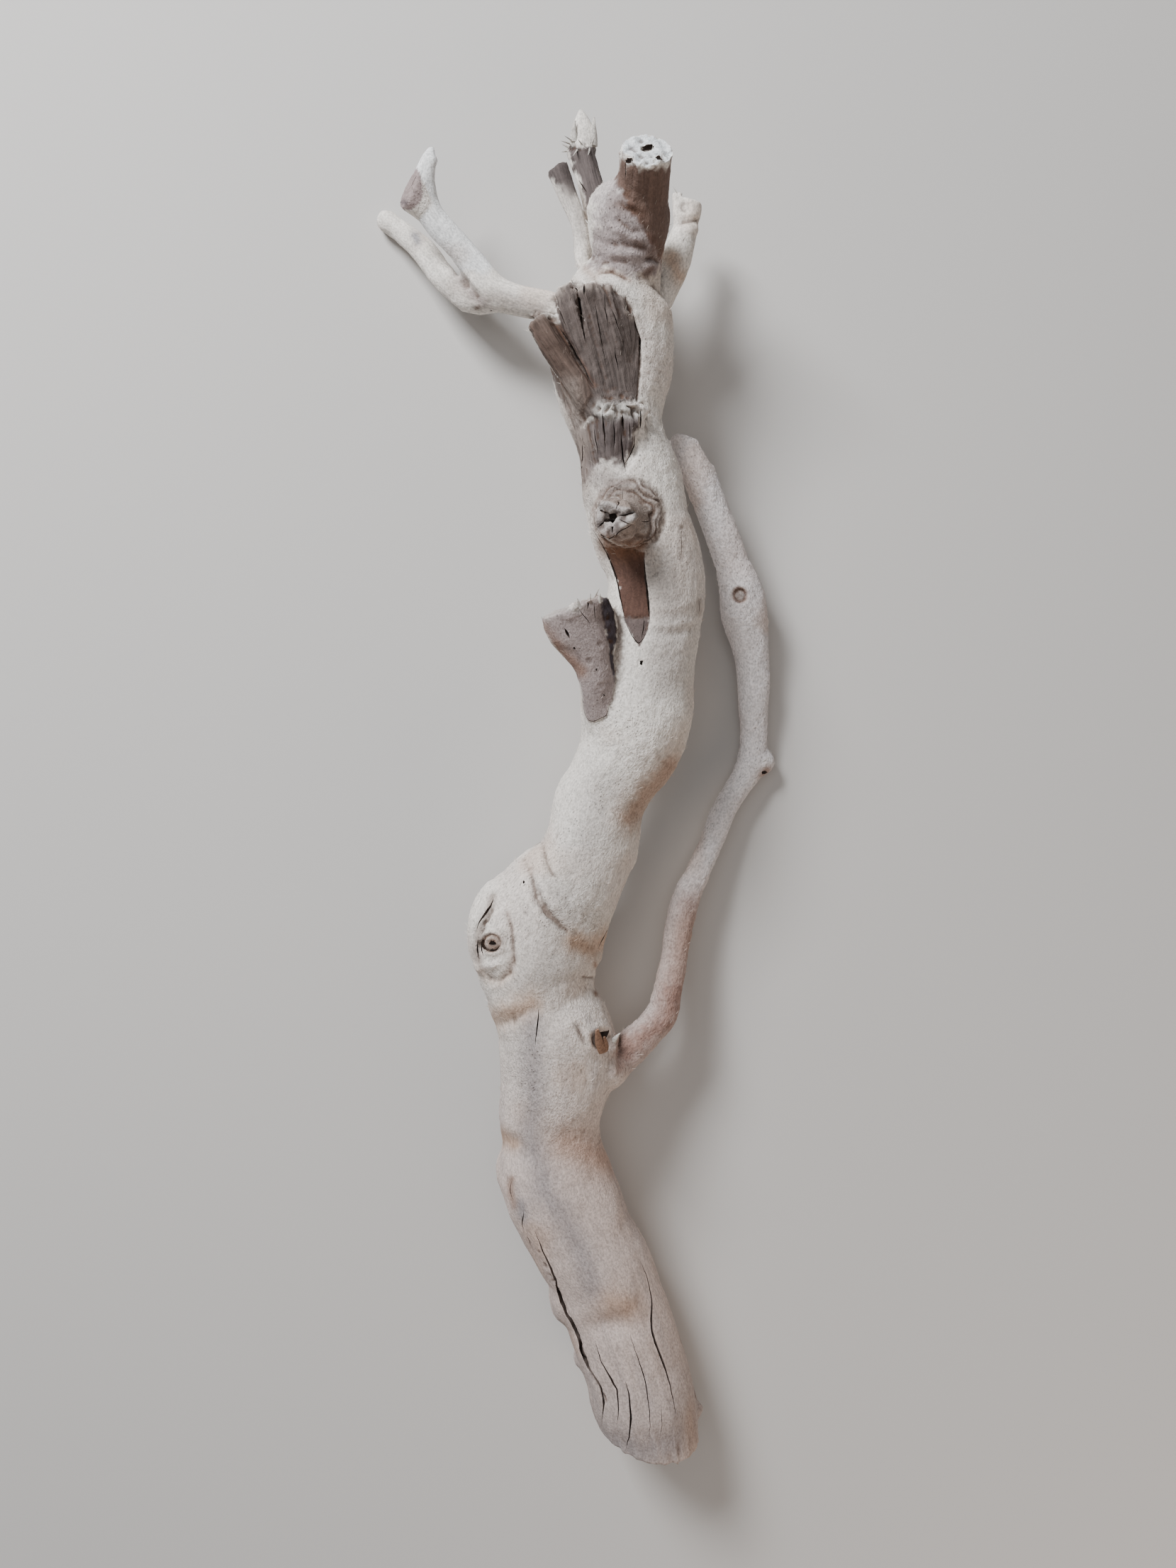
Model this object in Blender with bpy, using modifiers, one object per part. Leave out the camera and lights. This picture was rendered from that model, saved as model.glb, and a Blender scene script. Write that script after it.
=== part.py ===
"""A sandblasted grapevine branch, about 0.8 m long, lying on its back on a table.

It is one grown piece of wood: a twisting trunk, a slender cane beside it, a forked
cane at the upper left, and the stubs, knots and drying cracks of old pruning.
Lengths in the tables are millimetres, +Y runs from the sawn foot to the top,
+Z is the side seen in the hand, and the lowest points lie on Z = 0.
"""

import math

import bmesh
import bpy
from mathutils import Matrix, Vector, noise
from mathutils.bvhtree import BVHTree

MM = 0.001
NODE = "grapevine_branch"

# The tables were read from the middle of the eye's view. This moves them so that
# the origin lies under the middle of the branch's bounding box.
TO_ORIGIN = Vector((8.0, -3.3, 0.0))

# How finely the limbs are fused, and how many triangles the fused wood keeps.
FUSE_VOXEL = 2.6
SOFTEN_PASSES = 4
WOOD_TRIANGLES = 8600
RING_SIDES = 28
STEPS_BETWEEN_STATIONS = 3
UNEVENNESS = 0.035
UNEVENNESS_PITCH = 34.0

# Stations of a limb, from its root to its tip: x and y of its axis, the axis's
# height above the table, half its width seen from above and half its depth.
TRUNK = [
    (44, -420, 32, 28, 26),
    (37, -387, 33, 30, 31.5),
    (33, -371, 33, 31.5, 34.5),
    (26, -347, 36, 31, 31),
    (19, -324, 39, 31, 29),
    (12, -304, 41, 31, 29),
    (5, -286, 43, 31.5, 30),
    (-3, -272, 45, 31, 30),
    (-11, -255, 46, 32.5, 30),
    (-17, -241, 47, 33, 30),
    (-21, -227, 48, 32, 30),
    (-22, -212, 49, 29.5, 28),
    (-23, -198, 50, 30, 28),
    (-20, -182, 52, 32, 30),
    (-18, -166, 53, 34, 32),
    (-19, -150, 54, 34, 33),
    (-21, -140, 55, 33, 33),
    (-26, -130, 55, 31.5, 33),
    (-28, -119, 55, 32.5, 34),
    (-30, -108, 55, 36, 36),
    (-29, -95, 55, 38, 37),
    (-25, -82, 55, 37, 37),
    (-19, -69, 55, 35, 36),
    (-11, -58, 56, 32, 33),
    (-4, -48, 56, 28.5, 30),
    (1, -37, 56, 28, 28),
    (4, -26, 56, 27, 28),
    (6, -13, 55, 27, 27),
    (11, -3, 55, 26, 27),
    (17, 8, 55, 27.5, 28),
    (23, 19, 55, 30, 30),
    (27, 32, 56, 32, 32),
    (29.5, 45, 57, 33, 32),
    (33, 60, 57, 30, 31),
    (36, 78, 58, 28, 30),
    (38, 94, 58, 28.5, 29),
    (40, 109, 58, 29, 29),
    (40, 123, 58, 28, 29),
    (36, 137, 59, 29, 29),
    (30, 151, 60, 29.5, 29),
    (27, 167, 60, 30, 29),
    (24, 183, 60, 29, 28),
    (20, 197, 60, 27, 27),
    (17, 209, 60, 27, 26),
    (15, 222, 60, 31, 27),
    (14, 238, 60, 35, 28),
    (15, 254, 60, 36, 28),
    (16, 268, 61, 34, 28),
    (17, 281, 62, 32, 27),
    (19, 290, 63, 27, 25),
    (22, 297, 65, 21.5, 24),
    (23, 304, 69, 20, 24),
    (23, 312, 73, 22, 24),
    (23, 321, 76, 23.5, 24),
    (24, 331, 79, 23, 23),
    (25, 339, 81, 17, 17),
    (25, 343, 81, 6, 7),
]

# The slender cane leaves the trunk low on the right, dips to the table at its
# knob and comes back up beside the trunk.
SIDE_CANE = [
    (2, -172, 48, 14, 12),
    (20, -163, 47, 11, 11),
    (32, -152, 44, 10.5, 10),
    (44, -139, 40, 9.8, 9.5),
    (49, -121, 36, 8.5, 8.5),
    (53, -103, 32, 8.5, 8.3),
    (56, -86, 28, 8.8, 8.5),
    (60, -71, 25, 9.2, 8.7),
    (68, -54, 22, 8.4, 8.2),
    (76, -38, 19, 8.2, 8),
    (84, -19, 16, 8.2, 8),
    (93, -3, 13, 8.2, 8),
    (101, 10, 10.5, 9.3, 9.3),
    (104, 24, 11, 8.9, 9),
    (104, 42, 13, 9.2, 9),
    (103.5, 61, 15, 10.3, 9.8),
    (102, 79, 17, 11, 10.5),
    (99.5, 92, 19, 12.5, 11.5),
    (96.5, 107, 22, 14.3, 13),
    (94.5, 120, 24, 13.3, 12.5),
    (88.5, 135, 27, 11.2, 11),
    (82, 151, 30, 10.6, 10.5),
    (75.5, 168, 33, 10.3, 10.3),
    (68, 185, 36, 10.6, 10.5),
    (62.5, 198, 38, 10.8, 10.5),
    (58, 212, 39, 10.5, 10),
]

# The forked cane leaves the trunk behind the dead slab at the upper left.
FORKED_CANE = [
    (8, 278, 52, 10, 10),
    (-18, 284, 48, 9, 9),
    (-30, 287, 45, 9, 9),
    (-46, 292, 42, 9.5, 9),
    (-59, 297, 40, 11.5, 9.5),
    (-67, 304, 39, 10, 8.5),
]
UPPER_PRONG = [
    (-55, 296, 41, 9, 9),
    (-67, 310, 40, 8.7, 8),
    (-77, 322, 42, 7.6, 7.5),
    (-86, 331, 44, 8, 7.5),
    (-94, 341, 46, 8, 7.5),
    (-97, 351, 47, 7.5, 7),
    (-97, 361, 49, 6.3, 6),
    (-95, 370, 50, 5.2, 4.8),
    (-92.5, 380, 51, 1.5, 1.5),
]
UPPER_PRONG_KNOT = [
    (-95, 343, 46, 8, 8),
    (-102, 348, 50, 10, 7.5),
    (-111, 354, 55, 10, 6.5),
]
LOWER_PRONG = [
    (-60, 294, 38, 9, 9),
    (-72, 295, 33, 8.5, 8.5),
    (-82, 304, 28, 8.2, 8),
    (-92, 316, 23, 8.2, 8),
    (-101, 330, 18, 8.2, 8),
    (-109, 339, 14, 7.5, 7.5),
    (-119, 349, 9.5, 7, 7.6),
    (-127, 355, 7, 7.2, 8.6),
    (-133, 358, 7.5, 4.5, 5),
]

# Stubs round the crown: a sawn brown one that rises to the eye, and three behind.
BROWN_STUB = [
    (28, 314, 66, 17, 16),
    (30, 326, 82, 15.5, 15),
    (31.5, 336, 96, 14.6, 14.5),
    (33, 352, 121, 14.6, 14.5),
]
THIN_STUB = [
    (6, 296, 50, 6, 6),
    (-2, 306, 50, 5.3, 5.3),
    (-3.5, 315, 51, 4.8, 5),
    (-4, 326, 52, 4.8, 5),
    (-8, 339, 53, 5.2, 5.2),
    (-13, 350, 54, 6, 6),
    (-18, 362, 55, 7, 7),
    (-21, 371, 55, 7, 7),
]
SPLINTER_STUB = [
    (16, 305, 46, 9, 9),
    (8, 337, 43, 8.2, 8),
    (3, 358, 41, 7.8, 7.8),
    (-2, 373, 40, 7.8, 7.5),
    (-4, 381, 40, 8.6, 7.2),
    (-2, 386, 40, 6.8, 5.4),
    (-3, 396, 40, 6.4, 4.6),
    (-5, 408, 40, 1.6, 1.6),
]
RIGHT_STUB = [
    (34, 280, 48, 12, 12),
    (49, 307, 40, 10.5, 10),
    (56, 326, 38, 9, 9),
    (60, 339, 37, 6.6, 6.6),
    (62.5, 348, 37, 6.6, 6.4),
    (64, 358, 37, 6.4, 6.2),
]
RIGHT_STUB_SPUR = [
    (55, 330, 38, 3.5, 3.5),
    (54, 345, 38, 2.8, 2.8),
    (52, 358, 38, 2.3, 2.3),
]

# Dead wood that the living trunk has grown round.
DEAD_SLAB = [
    (16, 196, 72, 9, 8),
    (16, 212, 75, 13, 9),
    (14, 226, 78, 15.5, 10),
    (10, 240, 82, 18.5, 10),
    (6.5, 252, 86, 21.5, 9.5),
    (2.5, 263, 89.5, 19.5, 9),
    (-2, 271, 92, 16.5, 8.5),
    (-2.5, 278, 93, 15.5, 8),
]
SLAB_PRONG = [
    (7, 213, 80, 9.5, 9),
    (-4, 228, 83, 9.5, 9),
    (-14, 241, 85, 8.5, 8),
    (-22, 251, 87, 7.8, 8),
    (-30, 265, 88, 7.2, 7),
]
BROKEN_TIER = [
    (18, 180, 75, 8, 8),
    (18.5, 192, 82, 11, 9),
    (19, 203, 87.5, 12.5, 9.5),
    (19, 214, 91, 12, 9),
]
KNOT_STUB = [
    (25, 147, 70, 16, 16),
    (22, 146, 88, 13.8, 13.6),
    (17, 145, 101, 12.2, 11.8),
    (13, 145, 114, 11.2, 10.6),
]
GREY_STUB = [
    (6, 36, 70, 8, 10),
    (5, 54, 79, 10, 11),
    (3, 68, 83, 11.5, 11.5),
    (-3, 80, 87, 14.5, 12),
    (-8, 89, 90, 16.5, 11.5),
    (-10, 99, 94, 17, 10.5),
    (-11, 112, 98, 17, 9.5),
]
BARK_RIDGE = [
    (14, 52, 72, 2.6, 5),
    (14.5, 66, 76, 3, 6),
    (13.5, 80, 79, 3.2, 7),
    (11.5, 93, 82, 3.4, 8),
    (8.5, 105, 86, 3.4, 8),
]

# Swellings: centre, then half sizes along x, y and z.
SWELLINGS = [
    ((-50, -130, 55), (8.5, 8, 14)),
    ((-43, -87, 56), (28.5, 36, 34)),
    ((-55, -105, 68), (12, 7, 14)),
    ((-46, -231, 44), (9, 15, 15)),
    ((52, 146, 42), (11, 18, 12)),
    ((21, 150, 79), (21, 21, 13)),
    ((111, 14, 8.5), (7, 8, 10)),
    ((66, -383, 28), (5, 5, 5)),
    ((12, -168, 50), (13, 14, 18)),
    ((-4, -350, 30), (6, 8, 10)),
    ((20, -38, 46), (10, 17, 14)),
    ((35, 250, 50), (16, 30, 22)),
    ((-16, -300, 40), (8, 24, 16)),
]

# Saw cuts and breaks: a point on the cut, the way the cut faces, and the side of
# the block that is taken off.
SAW_CUTS = [
    ((36, -388, 34), (-0.22, -1.0, -0.33), 150),
    ((32, 345, 110), (0.06, 0.52, 0.85), 46),
    ((-19, 363, 55), (-0.50, 0.86, 0.05), 24),
    ((63, 352, 37), (0.30, 0.95, 0.1), 15),
    ((-106, 351, 53), (-0.72, 0.28, 0.64), 30),
    ((-28, 260, 88), (-0.60, 0.78, 0.15), 22),
    ((-9, 99, 94), (-0.36, 0.90, 0.22), 50),
    ((61, 208, 39), (0.30, 0.95, 0.05), 40),
    ((69, 201, 39), (0.85, 0.52, 0.05), 20),
]

# Rot holes and pith holes: mouth, the way it opens, its radius at the mouth and its depth.
HOLES = [
    ((13, 144, 109), (-0.25, 0.05, 0.96), 4.2, 16),
    ((31, 346, 109.5), (0.06, 0.52, 0.85), 3.2, 12),
    ((7.5, -148, 86), (0.1, 0.25, 0.96), 5.4, 9),
    ((-60, -93, 80), (-0.55, 0.05, 0.83), 5.2, 7),
    ((90, 118, 35.5), (-0.1, -0.2, 0.97), 4.4, 4),
    ((21, 204, 98), (0.05, -0.35, 0.93), 4.6, 7),
]

# Drying cracks, seen from above: width at the surface, depth, and the line's points.
CRACKS = [
    (4.2, 12, [(-31, -265), (-27, -276), (-20, -291), (-15, -303), (-9, -318), (-4, -333), (2, -348), (10, -362), (9, -376)]),
    (1.8, 8, [(31, -280), (37, -300), (37, -322), (42, -338), (48, -356), (52, -376)]),
    (1.5, 6, [(5, -334), (9, -346), (17, -360), (18, -384)]),
    (1.6, 7, [(22, -358), (25, -374), (24, -390), (21, -402)]),
    (1.7, 8, [(5, 138), (12, 124), (17, 112), (20, 97), (29, 78)]),
    (2.0, 8, [(31, 127), (33, 112), (35, 98), (33, 88), (29, 78)]),
    (2.6, 9, [(-6.5, 279), (-5.5, 268), (-3, 256), (1, 243)]),
    (1.6, 6, [(11, 262), (15, 250), (18, 238)]),
    (1.6, 6, [(3, 268), (6, 256), (9, 240), (12, 230)]),
    (1.8, 7, [(9.5, 208), (9.5, 196), (9, 184)]),
    (2.6, 3, [(-29, -52), (-27, -61), (-21, -74), (-10, -86)]),
    (1.8, 5, [(11, -80), (8, -87), (4, -98)]),
    (3.4, 8, [(-54, -67), (-57, -74), (-60, -82), (-61, -88)]),
    (1.8, 7, [(20, 198), (22, 190), (20, 176)]),
]

# Tiny flats, one under each of the three low points, are what a level table leaves.
TABLE_BLOCK = 1200.0

WOOD_COLOUR = (0.66, 0.58, 0.48, 1.0)
WOOD_ROUGHNESS = 0.85


def clear_scene():
    for obj in list(bpy.data.objects):
        bpy.data.objects.remove(obj)


def new_collection(name):
    collection = bpy.data.collections.new(name)
    bpy.context.scene.collection.children.link(collection)
    return collection


def between(a, b, c, d, t):
    """Catmull-Rom: the value a share t of the way from b to c."""
    return 0.5 * (
        2 * b + (c - a) * t + (2 * a - 5 * b + 4 * c - d) * t**2 + (3 * b - a - 3 * c + d) * t**3
    )


def run_of(stations):
    """The stations with smooth steps put between them, as centres and half sizes."""
    padded = [stations[0], *stations, stations[-1]]
    rows = []
    for a, b, c, d in zip(padded, padded[1:], padded[2:], padded[3:]):
        for step in range(STEPS_BETWEEN_STATIONS):
            t = step / STEPS_BETWEEN_STATIONS
            rows.append([between(*four, t) for four in zip(a, b, c, d)])
    rows.append(list(stations[-1]))
    return [(Vector(row[:3]), row[3], row[4]) for row in rows]


def uneven(point):
    """Old vine wood is never quite round: a slow, small swing in its radius."""
    return 1 + UNEVENNESS * noise.noise(point / UNEVENNESS_PITCH)


def add_limb(wood, stations, across=Vector((0, 0, 1))):
    """A tube through the stations. Its width lies square to its run and to `across`."""
    run = run_of(stations)
    rings = []
    for i, (centre, half_width, half_depth) in enumerate(run):
        before, after = run[max(i - 1, 0)][0], run[min(i + 1, len(run) - 1)][0]
        along = (after - before).normalized()
        wide = along.cross(across).normalized()
        deep = wide.cross(along)
        ring = []
        for side in range(RING_SIDES):
            angle = math.tau * side / RING_SIDES
            spoke = wide * (half_width * math.cos(angle)) + deep * (half_depth * math.sin(angle))
            ring.append(wood.verts.new(centre + spoke * uneven(centre + spoke)))
        rings.append(ring)
    for lower, upper in zip(rings, rings[1:]):
        for side in range(RING_SIDES):
            after = (side + 1) % RING_SIDES
            wood.faces.new((lower[side], lower[after], upper[after], upper[side]))
    wood.faces.new(list(reversed(rings[0])))
    wood.faces.new(rings[-1])


def add_swelling(wood, centre, half_sizes):
    place = Matrix.Translation(Vector(centre)) @ Matrix.Diagonal((*half_sizes, 1.0))
    bmesh.ops.create_uvsphere(wood, u_segments=20, v_segments=12, radius=1.0, matrix=place)


def object_of(name, mesh_in_mm, collection):
    """A mesh object of a bmesh drawn in millimetres in the tables' frame."""
    mesh_in_mm.transform(Matrix.Scale(MM, 4) @ Matrix.Translation(TO_ORIGIN))
    bmesh.ops.recalc_face_normals(mesh_in_mm, faces=mesh_in_mm.faces)
    mesh = bpy.data.meshes.new(name)
    mesh_in_mm.to_mesh(mesh)
    mesh_in_mm.free()
    obj = bpy.data.objects.new(name, mesh)
    collection.objects.link(obj)
    return obj


def fused_wood(collection):
    """Every limb and swelling, grown together into one skin."""
    wood = bmesh.new()
    upright = Vector((0, 1, 0))
    for stations in (TRUNK, SIDE_CANE, FORKED_CANE, UPPER_PRONG, UPPER_PRONG_KNOT, LOWER_PRONG):
        add_limb(wood, stations)
    for stations in (THIN_STUB, SPLINTER_STUB, RIGHT_STUB, RIGHT_STUB_SPUR):
        add_limb(wood, stations)
    for stations in (DEAD_SLAB, SLAB_PRONG, BROKEN_TIER, GREY_STUB, BARK_RIDGE):
        add_limb(wood, stations)
    for stations in (BROWN_STUB, KNOT_STUB):
        add_limb(wood, stations, across=upright)
    for centre, half_sizes in SWELLINGS:
        add_swelling(wood, centre, half_sizes)
    obj = object_of(NODE, wood, collection)
    fuse = obj.modifiers.new("Fuse limbs", "REMESH")
    fuse.mode = "VOXEL"
    fuse.voxel_size = FUSE_VOXEL * MM
    soften = obj.modifiers.new("Soften junctions", "SMOOTH")
    soften.factor = 0.5
    soften.iterations = SOFTEN_PASSES
    return obj


def thin_out(obj):
    """Fewer faces where the wood is plain. The share is worked out from what the fusing made."""
    graph = bpy.context.evaluated_depsgraph_get()
    made = obj.evaluated_get(graph).to_mesh()
    made.calc_loop_triangles()
    triangles = len(made.loop_triangles)
    thin = obj.modifiers.new("Thin out", "DECIMATE")
    thin.ratio = min(1.0, WOOD_TRIANGLES / triangles)
    thin.use_collapse_triangulate = True


def add_saw_cut(cutters, number, point, facing, side):
    """A block whose one face lies on the cut, with the wood behind that face."""
    facing = Vector(facing).normalized()
    turn = facing.to_track_quat("Z", "Y").to_matrix().to_4x4()
    block = bmesh.new()
    place = Matrix.Translation(Vector(point)) @ turn @ Matrix.Translation((0, 0, side / 2))
    bmesh.ops.create_cube(block, size=side, matrix=place)
    object_of(f"saw_cut_{number}", block, cutters)


def add_hole(cutters, number, mouth, opens, radius, depth):
    """A slightly tapered round hole that starts a little above the wood."""
    above = 8.0
    opens = Vector(opens).normalized()
    turn = opens.to_track_quat("Z", "Y").to_matrix().to_4x4()
    middle = Vector(mouth) + opens * ((above - depth) / 2)
    drill = bmesh.new()
    bmesh.ops.create_cone(
        drill,
        cap_ends=True,
        segments=12,
        radius1=radius * 0.55,
        radius2=radius * 1.1,
        depth=above + depth,
        matrix=Matrix.Translation(middle) @ turn,
    )
    object_of(f"hole_{number}", drill, cutters)


def add_crack(cutters, number, width, depth, line, skin):
    """A thin wedge that follows the line over the wood, closed to nothing at both ends."""
    above, steps = 3.0, 3
    points = [Vector((x, y, 0)) for x, y in line]
    padded = [points[0], *points, points[-1]]
    path = []
    for a, b, c, d in zip(padded, padded[1:], padded[2:], padded[3:]):
        path += [between(a, b, c, d, step / steps) for step in range(steps)]
    path.append(points[-1])
    wedge = bmesh.new()
    rings = []
    for i, point in enumerate(path):
        along = (path[min(i + 1, len(path) - 1)] - path[max(i - 1, 0)]).normalized()
        sideways = Vector((-along.y, along.x, 0))
        surface, facing = skin(point.x, point.y)
        share = math.sin(math.pi * (0.04 + 0.92 * i / (len(path) - 1)))
        half = 0.5 * width * share**0.5
        bottom = surface - facing * depth * share**0.5
        top = surface + facing * above
        spread = half * (1 + above / depth)
        rings.append([wedge.verts.new(v) for v in (bottom, top + sideways * spread, top - sideways * spread)])
    for lower, upper in zip(rings, rings[1:]):
        for side in range(3):
            after = (side + 1) % 3
            wedge.faces.new((lower[side], lower[after], upper[after], upper[side]))
    wedge.faces.new(list(reversed(rings[0])))
    wedge.faces.new(rings[-1])
    object_of(f"crack_{number}", wedge, cutters)


def skin_finder(obj):
    """A function of x and y, in the tables' frame, that gives the point on top of the wood and its normal."""
    tree = BVHTree.FromObject(obj, bpy.context.evaluated_depsgraph_get())

    def skin(x, y):
        start = (Vector((x, y, 400)) + TO_ORIGIN) * MM
        point, facing, _, _ = tree.ray_cast(start, Vector((0, 0, -1)))
        return point / MM - TO_ORIGIN, facing

    return skin


def cut_wood(obj, cutters):
    for number, (point, facing, side) in enumerate(SAW_CUTS, 1):
        add_saw_cut(cutters, number, point, facing, side)
    for number, hole in enumerate(HOLES, 1):
        add_hole(cutters, number, *hole)
    skin = skin_finder(obj)
    for number, (width, depth, line) in enumerate(CRACKS, 1):
        add_crack(cutters, number, width, depth, line, skin)
    add_saw_cut(cutters, "table", (0, 0, 0), (0, 0, -1), TABLE_BLOCK)
    for cutter in cutters.objects:
        cutter.hide_render = True
        cutter.display_type = "WIRE"
        split = obj.modifiers.new(f"Take off {cutter.name}", "BOOLEAN")
        split.operation = "DIFFERENCE"
        split.solver = "MANIFOLD" if cutter.name.startswith("crack") else "EXACT"
        split.object = cutter


def wood_material():
    material = bpy.data.materials.new("weathered vine wood")
    material.use_nodes = True
    shader = material.node_tree.nodes["Principled BSDF"]
    shader.inputs["Base Color"].default_value = WOOD_COLOUR
    shader.inputs["Roughness"].default_value = WOOD_ROUGHNESS
    shader.inputs["Metallic"].default_value = 0.0
    return material


def main():
    clear_scene()
    branch = new_collection("Grapevine branch")
    cutters = new_collection("Cutters")
    wood = fused_wood(branch)
    thin_out(wood)
    cut_wood(wood, cutters)
    wood.data.materials.append(wood_material())
    wood.data.shade_smooth()


main()
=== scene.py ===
"""The looks of a sandblasted grapevine branch that lies on its back on a pale table.

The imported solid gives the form. This script covers it with a finer skin of the same
wood, opens its drying cracks and holes, and adds a dead twig, torn splinters and the
fibres that sandblasting lifts. Lengths in the tables are millimetres. Places on the
wood are given as the eye sees them, on a plane 60 mm over the table.
"""

import math

import bmesh
import bpy
import numpy as np
from mathutils import Matrix, Vector
from mathutils.bvhtree import BVHTree


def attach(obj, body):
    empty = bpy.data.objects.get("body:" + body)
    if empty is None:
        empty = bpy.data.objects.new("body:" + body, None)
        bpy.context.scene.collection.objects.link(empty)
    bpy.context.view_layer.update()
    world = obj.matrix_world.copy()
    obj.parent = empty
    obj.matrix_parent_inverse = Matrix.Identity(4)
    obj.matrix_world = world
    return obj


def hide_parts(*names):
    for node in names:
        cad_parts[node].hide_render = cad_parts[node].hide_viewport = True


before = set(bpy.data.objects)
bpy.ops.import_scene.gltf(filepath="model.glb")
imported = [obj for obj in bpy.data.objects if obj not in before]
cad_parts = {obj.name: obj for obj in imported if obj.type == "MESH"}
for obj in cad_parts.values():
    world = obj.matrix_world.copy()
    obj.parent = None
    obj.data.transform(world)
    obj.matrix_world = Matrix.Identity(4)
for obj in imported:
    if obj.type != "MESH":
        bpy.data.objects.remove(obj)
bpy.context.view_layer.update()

# The eye.
# The branch is looked at from arm's length, straight above its middle, with its sawn
# foot at the bottom of the picture.
MM = 0.001
EYE = np.array((8.0, -3.3, 750.0))
READING_HEIGHT = 60.0

camera = bpy.data.objects.new("eye", bpy.data.cameras.new("eye"))
camera.location = EYE * MM
camera.data.sensor_width = 36.0
camera.data.lens = 27.03
camera.data.clip_start = 0.01
bpy.context.scene.collection.objects.link(camera)
bpy.context.scene.camera = camera


def as_seen(points):
    """Where points in millimetres appear, on the plane that the places were read on."""
    shrink = (EYE[2] - READING_HEIGHT) / (EYE[2] - points[:, 2])
    return (points[:, :2] - EYE[:2]) * shrink[:, None]


# The branch.
# One grown piece of old vine wood, stripped of its bark and sandblasted. A skin of
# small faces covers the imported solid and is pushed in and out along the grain.
SKIN_VOXEL = 0.95
SKIN_TRIANGLES = 165000
EVENING_ROUNDS = 22
EVENING_PULLS = (0.63, -0.66)
CREASE_ANGLE = 60


def finished_mesh(obj):
    """The object's mesh with its modifiers applied."""
    graph = bpy.context.evaluated_depsgraph_get()
    return bpy.data.meshes.new_from_object(obj.evaluated_get(graph))


def object_from(mesh, name):
    obj = bpy.data.objects.new(name, mesh)
    bpy.context.scene.collection.objects.link(obj)
    return obj


def values_of(items, key, width, kind=np.float32):
    """One property of many items, a row of numbers for each."""
    flat = np.empty(len(items) * width, dtype=kind)
    items.foreach_get(key, flat)
    return flat.reshape(-1, width)


def vertex_positions(mesh):
    return values_of(mesh.vertices, "co", 3).astype(np.float64) / MM


def vertex_normals(mesh):
    return values_of(mesh.vertex_normals, "vector", 3).astype(np.float64)


def move_vertices(mesh, points):
    mesh.vertices.foreach_set("co", (points * MM).astype(np.float32).ravel())
    mesh.update()


def mean_of_neighbours(mesh, points):
    """For each vertex, the mean place of those that share an edge with it."""
    a, b = values_of(mesh.edges, "vertices", 2, np.int32).T
    count = np.bincount(np.concatenate((a, b)), minlength=len(points))[:, None]
    sums = [np.bincount(a, axis[b], len(points)) + np.bincount(b, axis[a], len(points)) for axis in points.T]
    return np.column_stack(sums) / count


def even_out(mesh, rounds):
    """Rounds off the solid's flat faces. Each pull inward is paid back, so no cane gets thinner."""
    points = vertex_positions(mesh)
    for _ in range(rounds):
        for share in EVENING_PULLS:
            points += share * (mean_of_neighbours(mesh, points) - points)
    move_vertices(mesh, points)


def unit(ways):
    """Directions with a length of 1."""
    return ways / (np.linalg.norm(ways) if ways.ndim == 1 else np.linalg.norm(ways, axis=1)[:, None])


def skin_under(place, tree):
    """The point of the skin that the eye sees at a place, in millimetres, and the way it faces."""
    aim = np.array((*(EYE[:2] + place), READING_HEIGHT)) - EYE
    point, facing, _, _ = tree.ray_cast(Vector(EYE * MM), Vector(aim).normalized())
    return (np.array(point) / MM, np.array(facing)) if point else (None, None)


def ring_of(centre, radius, start=0, sweep=360):
    """Points on part of a ring, from a start angle through a sweep in degrees."""
    angles = np.radians(np.linspace(start, start + sweep, 24))
    return np.column_stack((centre[0] + radius * np.cos(angles), centre[1] + radius * np.sin(angles)))


def plug_hole(shell, centre, radius, depth):
    """Fills one of the solid's holes, level with the wood round it, so that a finer one takes its place."""
    rim = [skin_under(place, solid_tree) for place in ring_of(centre, radius + PLUG_RIM, 0, 345)]
    middle = np.mean([point for point, _ in rim], axis=0)
    facing = unit(np.mean([way for _, way in rim], axis=0))
    turn = Vector(facing).to_track_quat("Z", "Y").to_matrix().to_4x4()
    seat = Matrix.Translation(Vector((middle - facing * depth / 2) * MM)) @ turn
    wide, deep = radius * MM, depth * MM
    bmesh.ops.create_cone(shell, cap_ends=True, segments=24, radius1=wide, radius2=wide, depth=deep, matrix=seat)


PLUG_RIM = 1.2
OLD_HOLES = [((86.7, 115.4), 4.2, 7), ((21, 215.6), 3.4, 8), ((5.2, 237.3), 3.0, 7)]
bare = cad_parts["grapevine_branch"].data.copy()
shell = bmesh.new()
shell.from_mesh(bare)
bmesh.ops.remove_doubles(shell, verts=shell.verts, dist=1e-6)
solid_tree = BVHTree.FromBMesh(shell)
for centre, radius, depth in OLD_HOLES:
    plug_hole(shell, centre, radius, depth)
shell.to_mesh(bare)
shell.free()
wood = object_from(bare, "vine_wood")
cover = wood.modifiers.new("Fine skin", "REMESH")
cover.mode = "VOXEL"
cover.voxel_size = SKIN_VOXEL * MM
wood.data = finished_mesh(wood)
wood.modifiers.clear()
even_out(wood.data, EVENING_ROUNDS)

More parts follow.
